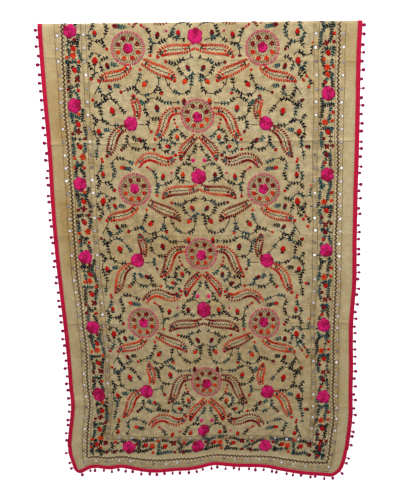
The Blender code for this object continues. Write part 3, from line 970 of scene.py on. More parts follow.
def sew_band_pitch(work, start, end, outward, band, leaves, spread):
    """One pitch of the border's flower band, from one raised flower to the next."""
    start, end = np.array(start, float), np.array(end, float)
    span = np.linalg.norm(end - start)
    forward = unit(end - start)
    inward = -np.array(outward, float)
    mirrored = forward[0] * inward[1] - forward[1] * inward[0] < 0
    stretch = span / BAND_PITCH
    for points in BAND_STEMS:
        stem = [
            start + forward * along * stretch + inward * off * spread + work.rng.uniform(-3.2, 3.2, 2)
            for off, along in points
        ]
        sew_leafed_stem(work, stem, work.rng.choice(leaves))
    for kind, off, along, degrees, thread in band:
        at = start + forward * along * stretch + inward * off * spread
        at = at + work.rng.uniform(-1.2, 1.2, 2)
        across_way = inward * math.cos(math.radians(degrees)) + forward * math.sin(math.radians(degrees))
        if kind == "dot":
            sew_dot(work, at, 11.5, thread)
        elif kind == "bud":
            sew_bud(work, at, across_way, 17, thread, "navy", 0.72)
        else:
            turn = degrees if mirrored else -degrees
            sew_floret(work, at, turn, thread, 5 if thread == "orange" else 4, 10.5)


def shared_threads():
    """Every embroidery thread's material, made once."""
    return {name: thread_material(name, colour) for name, colour in THREADS.items()}


def thread_material(name, colour):
    """Mercerised cotton floss, coloured with dye and loosely twisted: a soft gloss, with painted light on
    each stitch's crest and painted shade down its sides.
    """
    label = f"cotton floss {name}"
    if label in bpy.data.materials:
        return bpy.data.materials[label]
    material, shader = new_material(label)
    shade = add_node(material, "Attribute", {}, attribute_name="shade")["Fac"]
    # The shade attribute: random tone per stitch, with painted light on the crest and painted shade down the
    # sides
    raised = add_node(material, "MapRange", {"Value": shade, "From Min": -0.9, "From Max": 0.7})["Result"]
    tones = {"Factor": raised, 6: linear(colour, 0.3), 7: linear(colour)}
    dye_and_painted_light = add_node(material, "Mix", tones, data_type="RGBA")[2]
    fill(material, shader, {"Base Color": dye_and_painted_light, "Roughness": 0.55, "Specular IOR Level": 0.12})
    return material


def cotton_material(colour):
    """Undyed handloom cotton, plain woven with thicker slubs: matt, unevenly yellowed, creased in store, with
    painted shade in its hollows and below its creases and painted light on its puckers and above its creases.
    """
    material, shader = new_material("handloom cotton")
    place = add_node(material, "UVMap", {}, uv_map="cloth")["UV"]
    puckered_and_shaded, yellowed_and_shaded = (
        add_node(material, "Attribute", {}, attribute_name=name)["Fac"] for name in ("puckered_and_shaded", "yellowed_and_shaded")
    )
    mottle, crumple, spun = (
        add_node(material, "TexNoise", {"Vector": place, "Scale": scale, "Detail": detail})["Fac"]
        for scale, detail in ((16, 6), (56, 4), (230, 3))
    )
    # The yarns are too fine to show, so slubs 2 mm thick and 33 mm long stand for them, both ways
    slubs = []
    for stretch in ((30, 560, 1), (560, 30, 1)):
        strand = add_node(material, "Mapping", {"Vector": place, "Scale": stretch})["Vector"]
        slubs.append(add_node(material, "TexNoise", {"Vector": strand, "Scale": 1.0, "Detail": 2.0})["Fac"])
    weave = add_node(material, "Math", {0: slubs[0], 1: slubs[1]}, operation="ADD")[0]
    tint = add_node(material, "MapRange", {"Value": weave, "From Min": 0.6, "From Max": 1.4})["Result"]
    tones = {"Factor": tint, 6: linear(colour, 0.7), 7: linear(colour)}
    woven = add_node(material, "Mix", tones, data_type="RGBA")[2]

    # Yellowed in patches, most where the cloth is yellowed with age or drawn up by its stitches; the patches
    # along a soft fold near the left edge are painted shade
    worked = add_node(material, "Math", {0: puckered_and_shaded, 1: 0.1, 2: yellowed_and_shaded}, operation="MULTIPLY_ADD")[0]
    patch = add_node(material, "Math", {0: mottle, 1: worked}, operation="ADD")[0]
    limits = {"Value": patch, "From Min": 0.46, "From Max": 1.14, "To Max": 0.9}
    spread = add_node(material, "MapRange", limits)["Result"]
    tones = {"Factor": spread, 6: woven, 7: linear("A2844E")}
    stained_and_shaded = add_node(material, "Mix", tones, data_type="RGBA")[2]

    # Painted shade in the hollows between stitches and painted light on the puckers, uneven with the
    # spinning, painted light and shade along the creases
    limits = {"Value": crumple, "From Min": 0.32, "From Max": 0.66, "To Min": 0.06, "To Max": -0.3}
    sunk = add_node(material, "MapRange", limits)["Result"]
    field = add_node(material, "Math", {0: sunk, 1: puckered_and_shaded, 2: 1.085}, operation="MULTIPLY_ADD")[0]
    limits = {"Value": spun, "From Min": 0.35, "From Max": 0.65, "To Min": 0.86, "To Max": 1.12}
    grain = add_node(material, "MapRange", limits)["Result"]
    crease = crease_height(material, place)
    # Painted light above each crease's line and painted shade below it
    limits = {"Value": crease, "From Min": -0.5, "From Max": 0.5, "To Min": 0.8, "To Max": 1.2}
    painted_crease_light = add_node(material, "MapRange", limits)["Result"]
    shade = add_node(material, "Math", {0: field, 1: painted_crease_light}, operation="MULTIPLY")[0]
    uneven = add_node(material, "Math", {0: shade, 1: grain}, operation="MULTIPLY")[0]
    tone = add_node(material, "VectorMath", {0: stained_and_shaded, "Scale": uneven}, operation="SCALE")[0]

    # Relief: puckers between the stitches, then the creases' lines, then the weave
    normal = None
    hollow = add_node(material, "Math", {0: crumple, 1: puckered_and_shaded}, operation="MULTIPLY")[0]
    for height, strength, distance in ((hollow, 0.6, 0.007), (crease, 0.6, 0.003), (weave, 0.45, 0.0006)):
        relief = {"Height": height, "Strength": strength, "Distance": distance}
        if normal:
            relief["Normal"] = normal
        normal = add_node(material, "Bump", relief)["Normal"]
    fill(material, shader, {"Base Color": tone, "Normal": normal, "Roughness": 0.88})
    fill(material, shader, {"Specular IOR Level": 0.2, "Sheen Weight": 0.12})
    return material


def crease_height(material, place):
    """The sharp line along each storage crease, as height for its bump and as painted light above it and
    painted shade below it; nothing where the cloth is flat.
    """
    split = add_node(material, "SeparateXYZ", {"Vector": place})
    wander = add_node(material, "TexNoise", {"Vector": place, "Scale": 14.0, "Detail": 2.0})["Fac"]
    down = add_node(material, "Math", {0: wander, 1: 0.012, 2: split["Y"]}, operation="MULTIPLY_ADD")[0]
    total = 0.0
    for place_down, slope, _, _, sharpness in CREASES:
        middle = -(place_down - 6) * MM
        off = add_node(material, "Math", {0: split["X"], 1: slope, 2: down}, operation="MULTIPLY_ADD")[0]
        limits = {"Value": off, "From Min": middle - CREASE_REACH, "From Max": middle + CREASE_REACH}
        reach = add_node(material, "MapRange", limits)["Result"]
        line = add_node(material, "FloatCurve", {"Value": reach})[0]
        ramp = line.node.mapping
        points = ramp.curves[0].points
        for at, rise in ((0.3, -0.1), (0.44, -0.5), (0.62, 0.32)):
            points.new(at, 0.5 + rise * sharpness)
        points[0].location = (0, 0.5)
        points[-1].location = (1, 0.5)
        ramp.update()
        level = add_node(material, "Math", {0: line, 1: 0.5}, operation="SUBTRACT")[0]
        total = add_node(material, "Math", {0: total, 1: level}, operation="ADD")[0]
    return total


def tape_material(colour):
    """Crimson grosgrain ribbon, woven of stout weft: ribs across it, a little glossy on its rounded back."""
    material, shader = new_material("crimson grosgrain")
    place = add_node(material, "UVMap", {}, uv_map="cloth")["UV"]
    # Ribs 1.4 mm apart, as coarse as they need to be to show
    waves = {"Vector": place, "Scale": 220.0, "Distortion": 1.2, "Detail": 1.0}
    ribs = add_node(material, "TexWave", waves, bands_direction="X")["Fac"]
    shade = add_node(material, "Attribute", {}, attribute_name="shade")["Fac"]
    # Random tone along the tape, with painted light where the hem's stretch is brighter
    tones = {"Factor": shade, 6: linear(colour, 0.5), 7: linear(colour)}
    dye_and_painted_light = add_node(material, "Mix", tones, data_type="RGBA")[2]
    relief = add_node(material, "Bump", {"Height": ribs, "Strength": 0.4, "Distance": 0.0004})["Normal"]
    fill(material, shader, {"Base Color": dye_and_painted_light, "Normal": relief, "Roughness": 0.7})
    fill(material, shader, {"Specular IOR Level": 0.12, "Sheen Weight": 0.03})
    return material


def wool_material(colour):
    """Magenta wool tied into a ball and trimmed: matt and fuzzy, with painted shade between tufts 1 mm wide
    and painted light on them.
    """
    material, shader = new_material("magenta wool")
    place = add_node(material, "TexCoord", {})["Object"]
    tufts = add_node(material, "TexNoise", {"Vector": place, "Scale": 900.0, "Detail": 3.0})["Fac"]
    # Painted shade between the tufts and painted light on their tops, following the bump
    tones = {"Factor": tufts, 6: linear(colour, 0.45), 7: linear(colour, 1.25)}
    dye_and_painted_light = add_node(material, "Mix", tones, data_type="RGBA")[2]
    relief = add_node(material, "Bump", {"Height": tufts, "Strength": 0.8, "Distance": 0.0008})["Normal"]
    fill(material, shader, {"Base Color": dye_and_painted_light, "Normal": relief, "Roughness": 0.9})
    fill(material, shader, {"Specular IOR Level": 0.1, "Sheen Weight": 0.12})
    return material


def mirror_material():
    """Silvered glass discs as small as sequins: clear and bright, with painted reflections, near white on
    some discs and dull on others.
    """
    material, shader = new_material("silvered mirror")
    painted_reflection = add_node(material, "Attribute", {}, attribute_name="shade")["Fac"]
    tones = {"Factor": painted_reflection, 6: linear("7E7479"), 7: linear("FBFAFF")}
    tone = add_node(material, "Mix", tones, data_type="RGBA")[2]
    fill(material, shader, {"Base Color": tone, "Metallic": 0.3, "Roughness": 0.25})
    return material


def cloth_grid(name, columns, rows, down_range, thickness, material):
    """A thin layer of the cloth over a range down the panel, as an even grid bent into place."""
    bm = bmesh.new()
    bmesh.ops.create_grid(bm, x_segments=columns, y_segments=rows, size=1)
    uv = bm.loops.layers.uv.new("cloth")
    chart = np.array([vert.co.xy for vert in bm.verts])
    across = chart[:, 0] * HALF_WIDTH
    down = down_range[0] + (chart[:, 1] + 1) / 2 * (down_range[1] - down_range[0])
    for vert, point in zip(bm.verts, on_cloth(across, down)):
        vert.co = point
    for face in bm.faces:
        for loop in face.loops:
            k = loop.vert.index
            loop[uv].uv = (across[k] * MM, -down[k] * MM)
    bmesh.ops.reverse_faces(bm, faces=bm.faces[:])
    mesh = mesh_of(bm, name)
    mesh.shade_smooth()
    off_side, off_hem = HALF_WIDTH - abs(across), SHOWN_LENGTH - down
    strip = 0 * across
    for side_line, hem_line in MIRROR_LINES:
        near_side = np.exp(-(((off_side - side_line) / 9) ** 2)) * (off_hem > hem_line)
        near_hem = np.exp(-(((off_hem - hem_line) / 9) ** 2)) * (off_side > side_line)
        strip = np.maximum(strip, np.maximum(near_side, near_hem))
    worked = ease((FIELD_HALF_WIDTH + 90 - abs(across)) / 24) * ease((FIELD_END + 75 - down) / 24)
    # How much the cloth puckers, which also sets the painted shade in its hollows: most in the field and
    # along the mirror lines, more towards the hem
    puckered_and_shaded = 0.3 + 0.7 * worked * ease(down / 20 + 1) + (0.35 + 0.55 * ease((down - 300) / 900)) * strip
    # Yellower and darker along the mirror lines and in the listed patches; the patches along a soft fold near
    # the left edge are painted shade
    yellowed_and_shaded = 0.12 * strip
    for middle, drop, half_width, half_length, strength in YELLOWED_AND_SHADED_PLACES:
        sideways, lengthways = (across - middle) / half_width, (down - drop) / half_length
        yellowed_and_shaded += strength * np.exp(-(sideways**2) - lengthways**2)
    give_values(mesh, "puckered_and_shaded", puckered_and_shaded)
    give_values(mesh, "yellowed_and_shaded", yellowed_and_shaded)
    piece = new_piece(name, mesh, material)
    wall = piece.modifiers.new("thickness", "SOLIDIFY")
    wall.thickness = thickness * MM
    wall.offset = -1
    return piece


def edge_places(name):
    """Places along a stretch of the panel's edge: across, down."""
    if name == "hidden_end":
        inset = HALF_WIDTH - HIDDEN_INSET - 1
        across = np.linspace(-inset, inset, 60)
        return np.stack([across, np.full(60, FOLD_END - HIDDEN_LENGTH + FOLD_RADIUS)], axis=1)
    if name == "hem":
        sides = np.linspace(HEM_TAPE_START, SHOWN_LENGTH, 16)[:-1]
        bottom = np.concatenate([[-450, -447, -443], np.linspace(-438, 438, 150), [443, 447, 450]])
        left = [(-HALF_WIDTH, down) for down in sides]
        right = [(HALF_WIDTH, down) for down in sides[::-1]]
        return np.array([*left, *((across, SHOWN_LENGTH) for across in bottom), *right])
    side = -HALF_WIDTH if name == "left" else HALF_WIDTH
    hidden = np.linspace(FOLD_END - HIDDEN_LENGTH + FOLD_RADIUS, FOLD_END, 40)[:-1]
    fold = np.linspace(FOLD_END, FOLD_RADIUS, 12)[:-1]
    shown = np.linspace(FOLD_RADIUS, HEM_TAPE_START, 230)
    down = np.concatenate([hidden, fold, shown])
    return np.stack([np.full(len(down), side), down], axis=1)


def edge_frame(name):
    """Along a stretch of the edge: middle of the wall, the way out of the cloth sideways, and its normal."""
    places = edge_places(name)
    across, down = places.T
    outer = on_cloth(across, down)
    turn = np.clip((FOLD_RADIUS - down) / FOLD_RADIUS, 0, math.pi)
    normal = np.stack([0 * turn, np.sin(turn), np.cos(turn)], axis=1)
    middle = outer - normal * WALL / 2 * MM
    steps = np.gradient(outer, axis=0)
    plan = np.stack([steps[:, 1], -steps[:, 0], 0 * turn], axis=1)
    outward = plan / np.maximum(np.linalg.norm(plan, axis=1, keepdims=True), 1e-9)
    if name in ("left", "right"):
        side = -1 if name == "left" else 1
        outward[down < FOLD_RADIUS + 2] = (side, 0, 0)
        outward *= np.sign(outward[:, :1]) * side
    else:
        outward *= -1 if outward[len(outward) // 2, 1] > 0 else 1
    return middle, outward, normal


def tape_piece(name, material):
    """A stretch of tape: a flat band with a rounded back, folded over the cloth's edge."""
    middle, outward, normal = edge_frame(name)
    count, around = len(middle), 12
    turns = np.linspace(0, math.tau, around + 1)
    inner, outer = TAPE_REACH[name]
    off = (inner + outer) / 2 + (outer - inner) / 2 * np.sign(np.cos(turns)) * np.abs(np.cos(turns)) ** 0.5
    up = TAPE_HALF_THICKNESS * np.sign(np.sin(turns)) * np.abs(np.sin(turns)) ** 0.4
    bm = bmesh.new()
    bmesh.ops.create_grid(bm, x_segments=count - 1, y_segments=around, size=1)
    uv = bm.loops.layers.uv.new("cloth")
    along = lengths_along(middle)
    bm.verts.ensure_lookup_table()
    for k, vert in enumerate(bm.verts):
        row, station = divmod(k, count)
        vert.co = middle[station] + outward[station] * off[row] * MM + normal[station] * up[row] * MM
        vert.co.z = max(vert.co.z, 0.0001)
    for face in bm.faces:
        for loop in face.loops:
            row, station = divmod(loop.vert.index, count)
            loop[uv].uv = (along[station], off[row] * MM)
    bmesh.ops.remove_doubles(bm, verts=bm.verts[:], dist=1e-6)
    bmesh.ops.holes_fill(bm, edges=[edge for edge in bm.edges if edge.is_boundary], sides=around)
    bmesh.ops.recalc_face_normals(bm, faces=bm.faces[:])
    mesh = mesh_of(bm, f"tape_{name}")
    # The tape's tone differs at random; the hem's stretch is painted brighter than the sides, as painted
    # light
    palest, brightest = (0.85, 1.0) if name == "hem" else (0.55, 0.8)
    give_values(mesh, "shade", np.random.default_rng(3).uniform(palest, brightest, len(mesh.vertices)))
    mesh.shade_smooth()
    return new_piece(f"tape_{name}", mesh, material)


def pompom_shape():
    """A tufted ball of wool of unit radius."""
    bm = bmesh.new()
    bmesh.ops.create_uvsphere(bm, u_segments=9, v_segments=6, radius=1)
    rng = np.random.default_rng(11)
    for vert in bm.verts:
        vert.co *= rng.uniform(0.9, 1.1)
    return shape_of(bm)


def yarn_shape():
    """The ball's thread: a thin round length from 0 to 1 along X."""
    bm = bmesh.new()
    bmesh.ops.create_cone(bm, cap_ends=True, segments=5, radius1=1, radius2=1, depth=1)
    bmesh.ops.rotate(bm, verts=bm.verts[:], matrix=Matrix.Rotation(math.pi / 2, 3, "Y"))
    bmesh.ops.translate(bm, verts=bm.verts[:], vec=(0.5, 0, 0))
    return shape_of(bm)


def pompom_piece(name, seed, material):
    """The pompoms of a stretch of tape, each on its short thread."""
    middle, outward, _ = edge_frame(name)
    down = edge_places(name)[:, 1]
    lengths = lengths_along(middle) / MM
    start, end = POMPOM_MARGIN, lengths[-1] - POMPOM_MARGIN
    if name != "hem":
        start = float(np.interp(0, down, lengths))
    count = round((end - start) / POMPOM_SPACING)
    k = np.arange(count)
    wobble = 0.11 * np.sin(2.4 * k + seed) + 0.06 * np.sin(5.1 * k + 2 * seed)
    place = start + (end - start) * (k + 0.5 + wobble) / count
    root = np.stack([np.interp(place, lengths, middle[:, axis]) for axis in range(3)], axis=1)
    way = np.stack([np.interp(place, lengths, outward[:, axis]) for axis in range(3)], axis=1)
    way = unit(way)
    side = np.stack([-way[:, 1], way[:, 0], 0 * place], axis=1)
    way = unit(way + side * (0.14 * np.sin(3.7 * k + seed))[:, None])
    side = np.stack([-way[:, 1], way[:, 0], 0 * place], axis=1)
    root = root + way * TAPE_WIDTH * MM
    reach = POMPOM_OUT[name] * (1 + 0.3 * np.sin(2.9 * k + 3 * seed))
    ball = root + way * reach[:, None] * MM
    ball[:, 2] = POMPOM_REST * MM
    rng = np.random.default_rng(int(seed * 10))
    up = np.array([0.0, 0.0, 1.0])
    corners, ball_faces = pompom_shape()
    size = rng.uniform(0.92, 1.16, (count, 1, 1))
    balls = ball[:, None, :] + size * MM * (
        corners[None, :, 0:1] * BALL_RADII[0] * way[:, None, :]
        + corners[None, :, 1:2] * BALL_RADII[1] * side[:, None, :]
        + corners[None, :, 2:3] * BALL_RADII[2] * up
    )
    yarn, yarn_faces = yarn_shape()
    root = root + way * (TAPE_REACH[name][1] - 1 - TAPE_WIDTH) * MM
    span = ball - root
    strands = root[:, None, :] + yarn[None, :, 0:1] * span[:, None, :] + YARN_RADIUS * MM * (
        yarn[None, :, 1:2] * side[:, None, :] + yarn[None, :, 2:3] * up
    )
    strands[..., 2] = np.maximum(strands[..., 2], 0.0)
    slots = np.zeros(count)
    batches = [
        (ball_faces, balls, slots, np.zeros(balls.shape[:2])),
        (yarn_faces, strands, slots, np.zeros(strands.shape[:2])),
    ]
    return joined_copies(f"pompoms_{name}", batches, [material])


def padding_shape():
    """The padding under a petal, of unit size: a low closed oval."""
    bm = bmesh.new()
    bmesh.ops.create_uvsphere(bm, u_segments=10, v_segments=6, radius=0.5)
    for vert in bm.verts:
        vert.co.z = max(0.0, vert.co.z) * 2 if vert.co.z > -0.4 else -0.1
    return shape_of(bm)


def raised_flowers(threads):
    """The thick pink flowers: each petal is satin-stitched over padding and laps its neighbour. The padding's
    dark pink is painted shade between the petals.
    """
    work = Needlework(21)
    rng = work.rng
    pads = []
    for _, half_width, petals, places in RAISED_FLOWERS:
        for across, down in places:
            centre = np.array([across, down], float)
            radius = half_width * (1.0 + 0.12 * down / SHOWN_LENGTH)
            if 0 < FIELD_END - down < half_width:
                radius = radius * CROWDED_FLOWER
            start = rng.uniform(0, 360)
            for k in range(petals):
                way = heading(start + 360 * k / petals + rng.uniform(-7, 7))
                reach = radius * rng.uniform(0.93, 1.07)
                middle = centre + way * np.array([0.55, 0.59]) * reach
                length = reach * 0.96
                width = radius * (0.88 if petals > 5 else 1.0) * rng.uniform(0.9, 1.1)
                lift = 0.5 * (k % 2) + 0.1
                pads.append((*middle, *way, length, width, 2.3 + lift, 0, 0, 1, -0.5))
                # Some petals take a darker copy of the hot pink: painted shade, put on petals at random
                thread = rng.choice(["hot pink", "hot pink", "shaded hot pink"])
                sew_petal(work, middle, way, length, width, lift, thread)
            pads.append((*centre, 1, 0, radius * 0.8, radius * 0.8, 2.6, 0, 0, 1, -0.5))
            for turn in range(0, 360, 60):
                way = heading(start + turn)
                tip = centre + way * radius * 0.26
                work.sew(centre - way * 0.5, tip, "hot pink", 2.4, 1.8, "stitch", 2.5)
    stitches = work.lay("raised_flowers", threads)
    pads = np.array(pads)
    corners, faces = padding_shape()
    copies = bent_onto_cloth(corners, pads, 0.08)
    # The padding is painted shade: dark pink showing between the petals, darker still towards its base
    shade = pads[:, 10:11] + 0.4 * corners[None, :, 2]
    batch = (faces, copies, np.zeros(len(pads)), shade)
    padding = joined_copies("flower_padding", [batch], [threads["painted shade pink"]])
    nodes = [f"{stem}_{k + 1}" for stem, _, _, places in RAISED_FLOWERS for k in range(len(places))]
    for piece in (stitches, padding):
        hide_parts(*nodes)


def sew_petal(work, middle, way, length, width, lift, thread):
    """One petal's threads, side by side over its padding."""
    side = turned(way, 90)
    count = round(width / PETAL_PITCH)
    for k in range(count):
        off = (k + 0.5) / count * 2 - 1
        half = length / 2 * math.sqrt(1 - 0.7 * off * off) * work.rng.uniform(0.92, 1.06)
        at = middle + side * off * width / 2 * 0.96
        arch = 1.8 * math.sqrt(1 - 0.8 * off * off)
        work.sew(at - way * half, at + way * half, thread, 2.5, 1.5, "arched", lift + 0.3, arch)


class ShawlSizes(bpy.types.PropertyGroup):
    """Sizes that a user would change."""

    cloth_thickness: bpy.props.FloatProperty(
        name="Cloth thickness", description="Thickness of one layer of cloth", default=0.5 * MM, unit="LENGTH"
    )
    grid_spacing: bpy.props.FloatProperty(
        name="Cloth grid", description="Spacing of the cloth's mesh", default=6.4 * MM, unit="LENGTH"
    )
    mirror_size: bpy.props.FloatProperty(
        name="Mirror size", description="Width of one mirror", default=8 * MM, unit="LENGTH"
    )


class ShawlColours(bpy.types.PropertyGroup):
    """Colours that a user would change."""

    cloth: bpy.props.StringProperty(
        name="Cloth", description="sRGB hex colour of the cotton", default="C9B68B"
    )
    tape: bpy.props.StringProperty(
        name="Tape", description="sRGB hex colour of the tape", default="C9123F"
    )
    wool: bpy.props.StringProperty(
        name="Pompoms", description="sRGB hex colour of the wool", default="9A0E58"
    )
    floor: bpy.props.StringProperty(
        name="Floor", description="sRGB hex colour of the floor", default="F6F6F4"
    )


class SHAWL_OT_cotton_panel(bpy.types.Operator):
    """Lay the cotton panel: the shown layer over the fold, and the plain hidden layer under it"""

    bl_idname = "shawl.cotton_panel"
    bl_label = "Cotton panel"

    def execute(self, context):
        sizes = context.scene.shawl_sizes
        cotton = cotton_material(context.scene.shawl_colours.cloth)
        spacing = sizes.grid_spacing / MM
        thickness = sizes.cloth_thickness / MM
        columns, rows = round(2 * HALF_WIDTH / spacing), round(SHOWN_LENGTH / spacing)
        shown = cloth_grid("cotton_shown_layer", columns, rows, (FOLD_END, SHOWN_LENGTH), thickness, cotton)
        end = FOLD_END - HIDDEN_LENGTH + FOLD_RADIUS
        hidden = cloth_grid("cotton_hidden_layer", 36, 40, (end, FOLD_END), thickness, cotton)
        for piece in (shown, hidden):
            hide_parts("panel")
        return {"FINISHED"}


class SHAWL_OT_tape_edging(bpy.types.Operator):
    """Sew the crimson tape and its pompoms along the edges"""

    bl_idname = "shawl.tape_edging"
    bl_label = "Tape and pompoms"

    def execute(self, context):
        tape = tape_material(context.scene.shawl_colours.tape)
        wool = wool_material(context.scene.shawl_colours.wool)
        for name, seed in (("left", 0.6), ("hem", 4.4), ("right", 2.1), ("hidden_end", None)):
            pieces = [tape_piece(name, tape)]
            if seed is not None:
                pieces.append(pompom_piece(name, seed, wool))
            for piece in pieces:
                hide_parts(f"edging_{name}")
        return {"FINISHED"}


class SHAWL_OT_raised_flowers(bpy.types.Operator):
    """Work the thick pink flowers"""

    bl_idname = "shawl.raised_flowers"
    bl_label = "Raised flowers"

    def execute(self, context):
        raised_flowers(shared_threads())
        return {"FINISHED"}


class SHAWL_OT_medallions(bpy.types.Operator):
    """Sew the ringed medallions"""

    bl_idname = "shawl.medallions"
    bl_label = "Medallions"

    def execute(self, context):
        work = Needlework(31)
        for repeat in REPEATS:
            for off, down in MEDALLIONS:
                for side in (-1, 1) if off else (1,):
                    middle = repeat_place(side, repeat, (off, down))
                    if middle[1] < FIELD_END:
                        sew_medallion(work, middle, -side)
        work.keep_within(FIELD_HALF_WIDTH, FIELD_END)
        work.lay("medallion_stitches", shared_threads())
        return {"FINISHED"}


class SHAWL_OT_feathers(bpy.types.Operator):
    """Sew the curved feathers"""

    bl_idname = "shawl.feathers"
    bl_label = "Feathers"

    def execute(self, context):
        work = Needlework(41)
        for repeat in REPEATS:
            for points, widest in FEATHERS:
                threads = FEATHER_THREADS[work.rng.integers(len(FEATHER_THREADS))]
                for side in (-1, 1):
                    if work.rng.random() < 0.4:
                        threads = FEATHER_THREADS[work.rng.integers(len(FEATHER_THREADS))]
                    line = [repeat_place(side, repeat, place) for place in points]
                    sew_feather(work, line, widest, *threads)
        work.keep_within(FIELD_HALF_WIDTH, FIELD_END)
        work.lay("feather_stitches", shared_threads())
        return {"FINISHED"}


class SHAWL_OT_vines(bpy.types.Operator):
    """Sew the leafed vines and their buds"""

    bl_idname = "shawl.vines"
    bl_label = "Vines and buds"

    def execute(self, context):
        work = Needlework(51)
        for repeat in REPEATS:
            for side in (-1, 1):
                for points, end in VINES:
                    nudge = work.rng.uniform(-1.5, 1.5, 2)
                    sew_vine(work, [repeat_place(side, repeat, place) + nudge for place in points], end)
                for off, down, degrees, length, thread in BUDS:
                    at = repeat_place(side, repeat, (off, down))
                    cup = work.rng.choice(["navy", "navy", "teal"])
                    thread = work.rng.choice([thread, thread, thread, "red", "maroon"])
                    way = heading(degrees) * np.array([side, -1])
                    sew_bud(work, at, way, length, thread, cup)
                for off, down, size, thread in DOTS:
                    sew_dot(work, repeat_place(side, repeat, (off, down)), size, thread)
            for points, end in RIGHT_VINES:
                sew_vine(work, [repeat_place(1, repeat, place) for place in points], end)
            for off, down, size, thread in RIGHT_DOTS:
                sew_dot(work, repeat_place(1, repeat, (off, down)), size, thread)
        work.keep_within(FIELD_HALF_WIDTH, FIELD_END)
        work.lay("vine_stitches", shared_threads())
        return {"FINISHED"}


class SHAWL_OT_border_band(bpy.types.Operator):
    """Sew the band of small flowers and leaves along the borders"""

    bl_idname = "shawl.border_band"
    bl_label = "Border band"

    def execute(self, context):
        work = Needlework(61)
        flowers = {stem: places for stem, _, _, places in RAISED_FLOWERS}
        left = [(-371, -190), *flowers["border_flower_left"], (-367, 1372)]
        right = [(369, -16), *flowers["border_flower_right"], (370, 1372)]
        hem = [(-480, 1322), *flowers["border_flower_hem"], (409, 1320)]
        dark, light = ["navy", "navy", "navy", "teal"], ["navy", "teal", "teal"]
        for places, outward, band, leaves, spread, swapped in (
            (left, (-1, 0), BAND, dark, 1.0, (2, 3, 6)),
            (right, (1, 0), RIGHT_BAND, light, 0.92, (0,)),
            (hem, (0, 1), BAND, dark, 1.2, ()),
        ):
            for number, (start, end) in enumerate(zip(places, places[1:])):
                pitch = swapped_threads(band) if number in swapped else band
                sew_band_pitch(work, start, end, outward, pitch, leaves, spread)
        side_limit, hem_limit = HALF_WIDTH - 63, SHOWN_LENGTH - 40
        work.keep_within(side_limit, hem_limit)
        work.lay("border_band_stitches", shared_threads())
        return {"FINISHED"}


class SHAWL_OT_border_lines(bpy.types.Operator):
    """Sew the borders' running lines and zigzag chain"""

    bl_idname = "shawl.border_lines"
    bl_label = "Border lines"

    def execute(self, context):
        work = Needlework(71)
        for off_side, off_hem in RUNNING_LINES:
            line = border_line(off_side, off_hem, RUNNING_PITCH)
            for a, b in zip(line, line[1:]):
                work.sew(a, a + (b - a) * RUNNING_SHARE, "grey brown", 1.9, 1.1)
        line = border_line(*CHAIN_LINE, CHAIN_PITCH)
        line[:, 0] -= np.sign(line[:, 0]) * np.where(line[:, 0] < 0, 5, 2.5) * (1 - ease(line[:, 1] / 260))
        for k, (a, b) in enumerate(zip(line, line[1:])):
            way = unit(b - a)
            side = turned(way, 90) * (CHAIN_REACH if k % 2 else -CHAIN_REACH)
            work.sew(a - side - way * 0.6, b + side + way * 0.6, "chain brown", 3.5, 1.8)
            work.sew(a + side * 1.3 - way * 1.4, a + side * 1.1 + way * 3.2, "cream", 3.6, 1.4)
        work.lay("border_line_stitches", shared_threads())
        return {"FINISHED"}


class SHAWL_OT_mirrors(bpy.types.Operator):
    """Set the small mirrors and the stitches that hold them"""

    bl_idname = "shawl.mirrors"
    bl_label = "Mirrors"

    def execute(self, context):
        work = Needlework(81)
        rng = np.random.default_rng(82)
        bm = bmesh.new()
        bmesh.ops.create_cone(bm, cap_ends=True, segments=12, radius1=0.5, radius2=0.44, depth=1)
        bmesh.ops.translate(bm, verts=bm.verts[:], vec=(0, 0, 0.5))
        corners, faces = shape_of(bm)
        size = context.scene.shawl_sizes.mirror_size / MM
        rows, tilts = [], []
        for off_side, off_hem in MIRROR_LINES:
            for place in border_line(off_side, off_hem, MIRROR_PITCH, -5.0)[1:]:
                place = place + rng.uniform(-1.2, 1.2, 2)
                rows.append((*place, *heading(rng.uniform(0, 360)), size, size, 0.7, 0.9, 0))
                tilts.append(rng.uniform(0.0, 1.1))
                for k in range(8):
                    way = heading(45 * k)
                    inner, outer = place + way * size * 0.42, place + way * size * 0.62
                    work.sew(inner, outer, "grey brown", 1.5, 1.5, lift=0.4)
        rows = np.array(rows)
        copies = bent_onto_cloth(corners, rows, 0)
        copies[..., 2] += np.array(tilts)[:, None] * corners[None, :, 0] * MM
        # Each disc's painted reflection, from dull to near white as if it caught a lamp
        shade = np.repeat(rng.choice([0.05, 0.25, 0.55, 0.8, 1.0], len(rows))[:, None], len(corners), axis=1)
        batch = (faces, copies, np.zeros(len(rows)), shade)
        discs = joined_copies("mirror_discs", [batch], [mirror_material()], smooth=False)
        for piece in (discs, work.lay("mirror_stitches", shared_threads())):
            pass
        return {"FINISHED"}


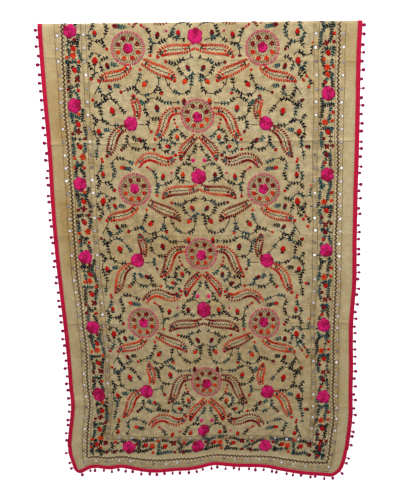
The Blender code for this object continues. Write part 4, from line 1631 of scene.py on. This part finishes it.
class SHAWL_OT_stage(bpy.types.Operator):
    """Set the floor, the lights and the camera"""

    bl_idname = "shawl.stage"
    bl_label = "Stage"

    def execute(self, context):
        scene = context.scene
        bm = bmesh.new()
        bmesh.ops.create_grid(bm, x_segments=1, y_segments=1, size=FLOOR_SIZE)
        bmesh.ops.translate(bm, verts=bm.verts[:], vec=(0, 0, -FLOOR_DROP))
        mesh = mesh_of(bm, "floor")
        paint, shader = new_material("matt floor paint")
        shader.inputs["Base Color"].default_value = linear(scene.shawl_colours.floor)
        shader.inputs["Roughness"].default_value = 0.9
        shader.inputs["Emission Color"].default_value = (1, 1, 1, 1)
        shader.inputs["Emission Strength"].default_value = 0.8
        mesh.materials.append(paint)
        floor = bpy.data.objects.new("floor", mesh)
        scene.collection.objects.link(floor)
        world = bpy.data.worlds.new("studio")
        world.use_nodes = True
        world.node_tree.nodes["Background"].inputs["Color"].default_value = linear("CAC6CC")
        world.node_tree.nodes["Background"].inputs["Strength"].default_value = 0.36
        scene.world = world
        for name, (place, size, power) in LIGHTS.items():
            light = bpy.data.lights.new(name, "AREA")
            light.size = size
            light.energy = power
            lamp = bpy.data.objects.new(name, light)
            lamp.location = place
            aim = Vector(LIGHTS_AIM) - Vector(place)
            lamp.rotation_euler = aim.to_track_quat("-Z", "Y").to_euler()
            scene.collection.objects.link(lamp)
        camera = bpy.data.cameras.new("camera")
        camera.sensor_width = SENSOR_WIDTH
        camera.lens = LENS
        view = bpy.data.objects.new("camera", camera)
        tilt = math.radians(CAMERA_TILT)
        target = Vector((SHIFT[0] * MM, SHIFT[1] * MM - AIM_DOWN, AIM_HEIGHT))
        view.location = target + CAMERA_DISTANCE * Vector((0, math.sin(tilt), math.cos(tilt)))
        view.rotation_euler = (-tilt, 0, 0)
        scene.collection.objects.link(view)
        scene.camera = view
        scene.view_settings.view_transform = "Standard"
        return {"FINISHED"}


OPERATORS = (
    SHAWL_OT_cotton_panel,
    SHAWL_OT_tape_edging,
    SHAWL_OT_raised_flowers,
    SHAWL_OT_medallions,
    SHAWL_OT_feathers,
    SHAWL_OT_vines,
    SHAWL_OT_border_band,
    SHAWL_OT_border_lines,
    SHAWL_OT_mirrors,
    SHAWL_OT_stage,
)


class SHAWL_PT_panel(bpy.types.Panel):
    """Lists the shawl's pieces, sizes and colours"""

    bl_label = "Phulkari shawl"
    bl_idname = "SHAWL_PT_panel"
    bl_space_type = "VIEW_3D"
    bl_region_type = "UI"
    bl_category = "Shawl"

    def draw(self, context):
        column = self.layout.column()
        for group in (context.scene.shawl_sizes, context.scene.shawl_colours):
            for name in type(group).__annotations__:
                column.prop(group, name)
        for operator in OPERATORS:
            column.operator(operator.bl_idname)


CLASSES = (ShawlSizes, ShawlColours, *OPERATORS, SHAWL_PT_panel)


def register():
    for item in CLASSES:
        bpy.utils.register_class(item)
    bpy.types.Scene.shawl_sizes = bpy.props.PointerProperty(type=ShawlSizes)
    bpy.types.Scene.shawl_colours = bpy.props.PointerProperty(type=ShawlColours)


def unregister():
    del bpy.types.Scene.shawl_colours
    del bpy.types.Scene.shawl_sizes
    for item in reversed(CLASSES):
        bpy.utils.unregister_class(item)


def main():
    register()
    for operator in OPERATORS:
        group, name = operator.bl_idname.split(".")
        getattr(getattr(bpy.ops, group), name)()
    bpy.context.view_layer.update()


if __name__ == "__main__":
    main()
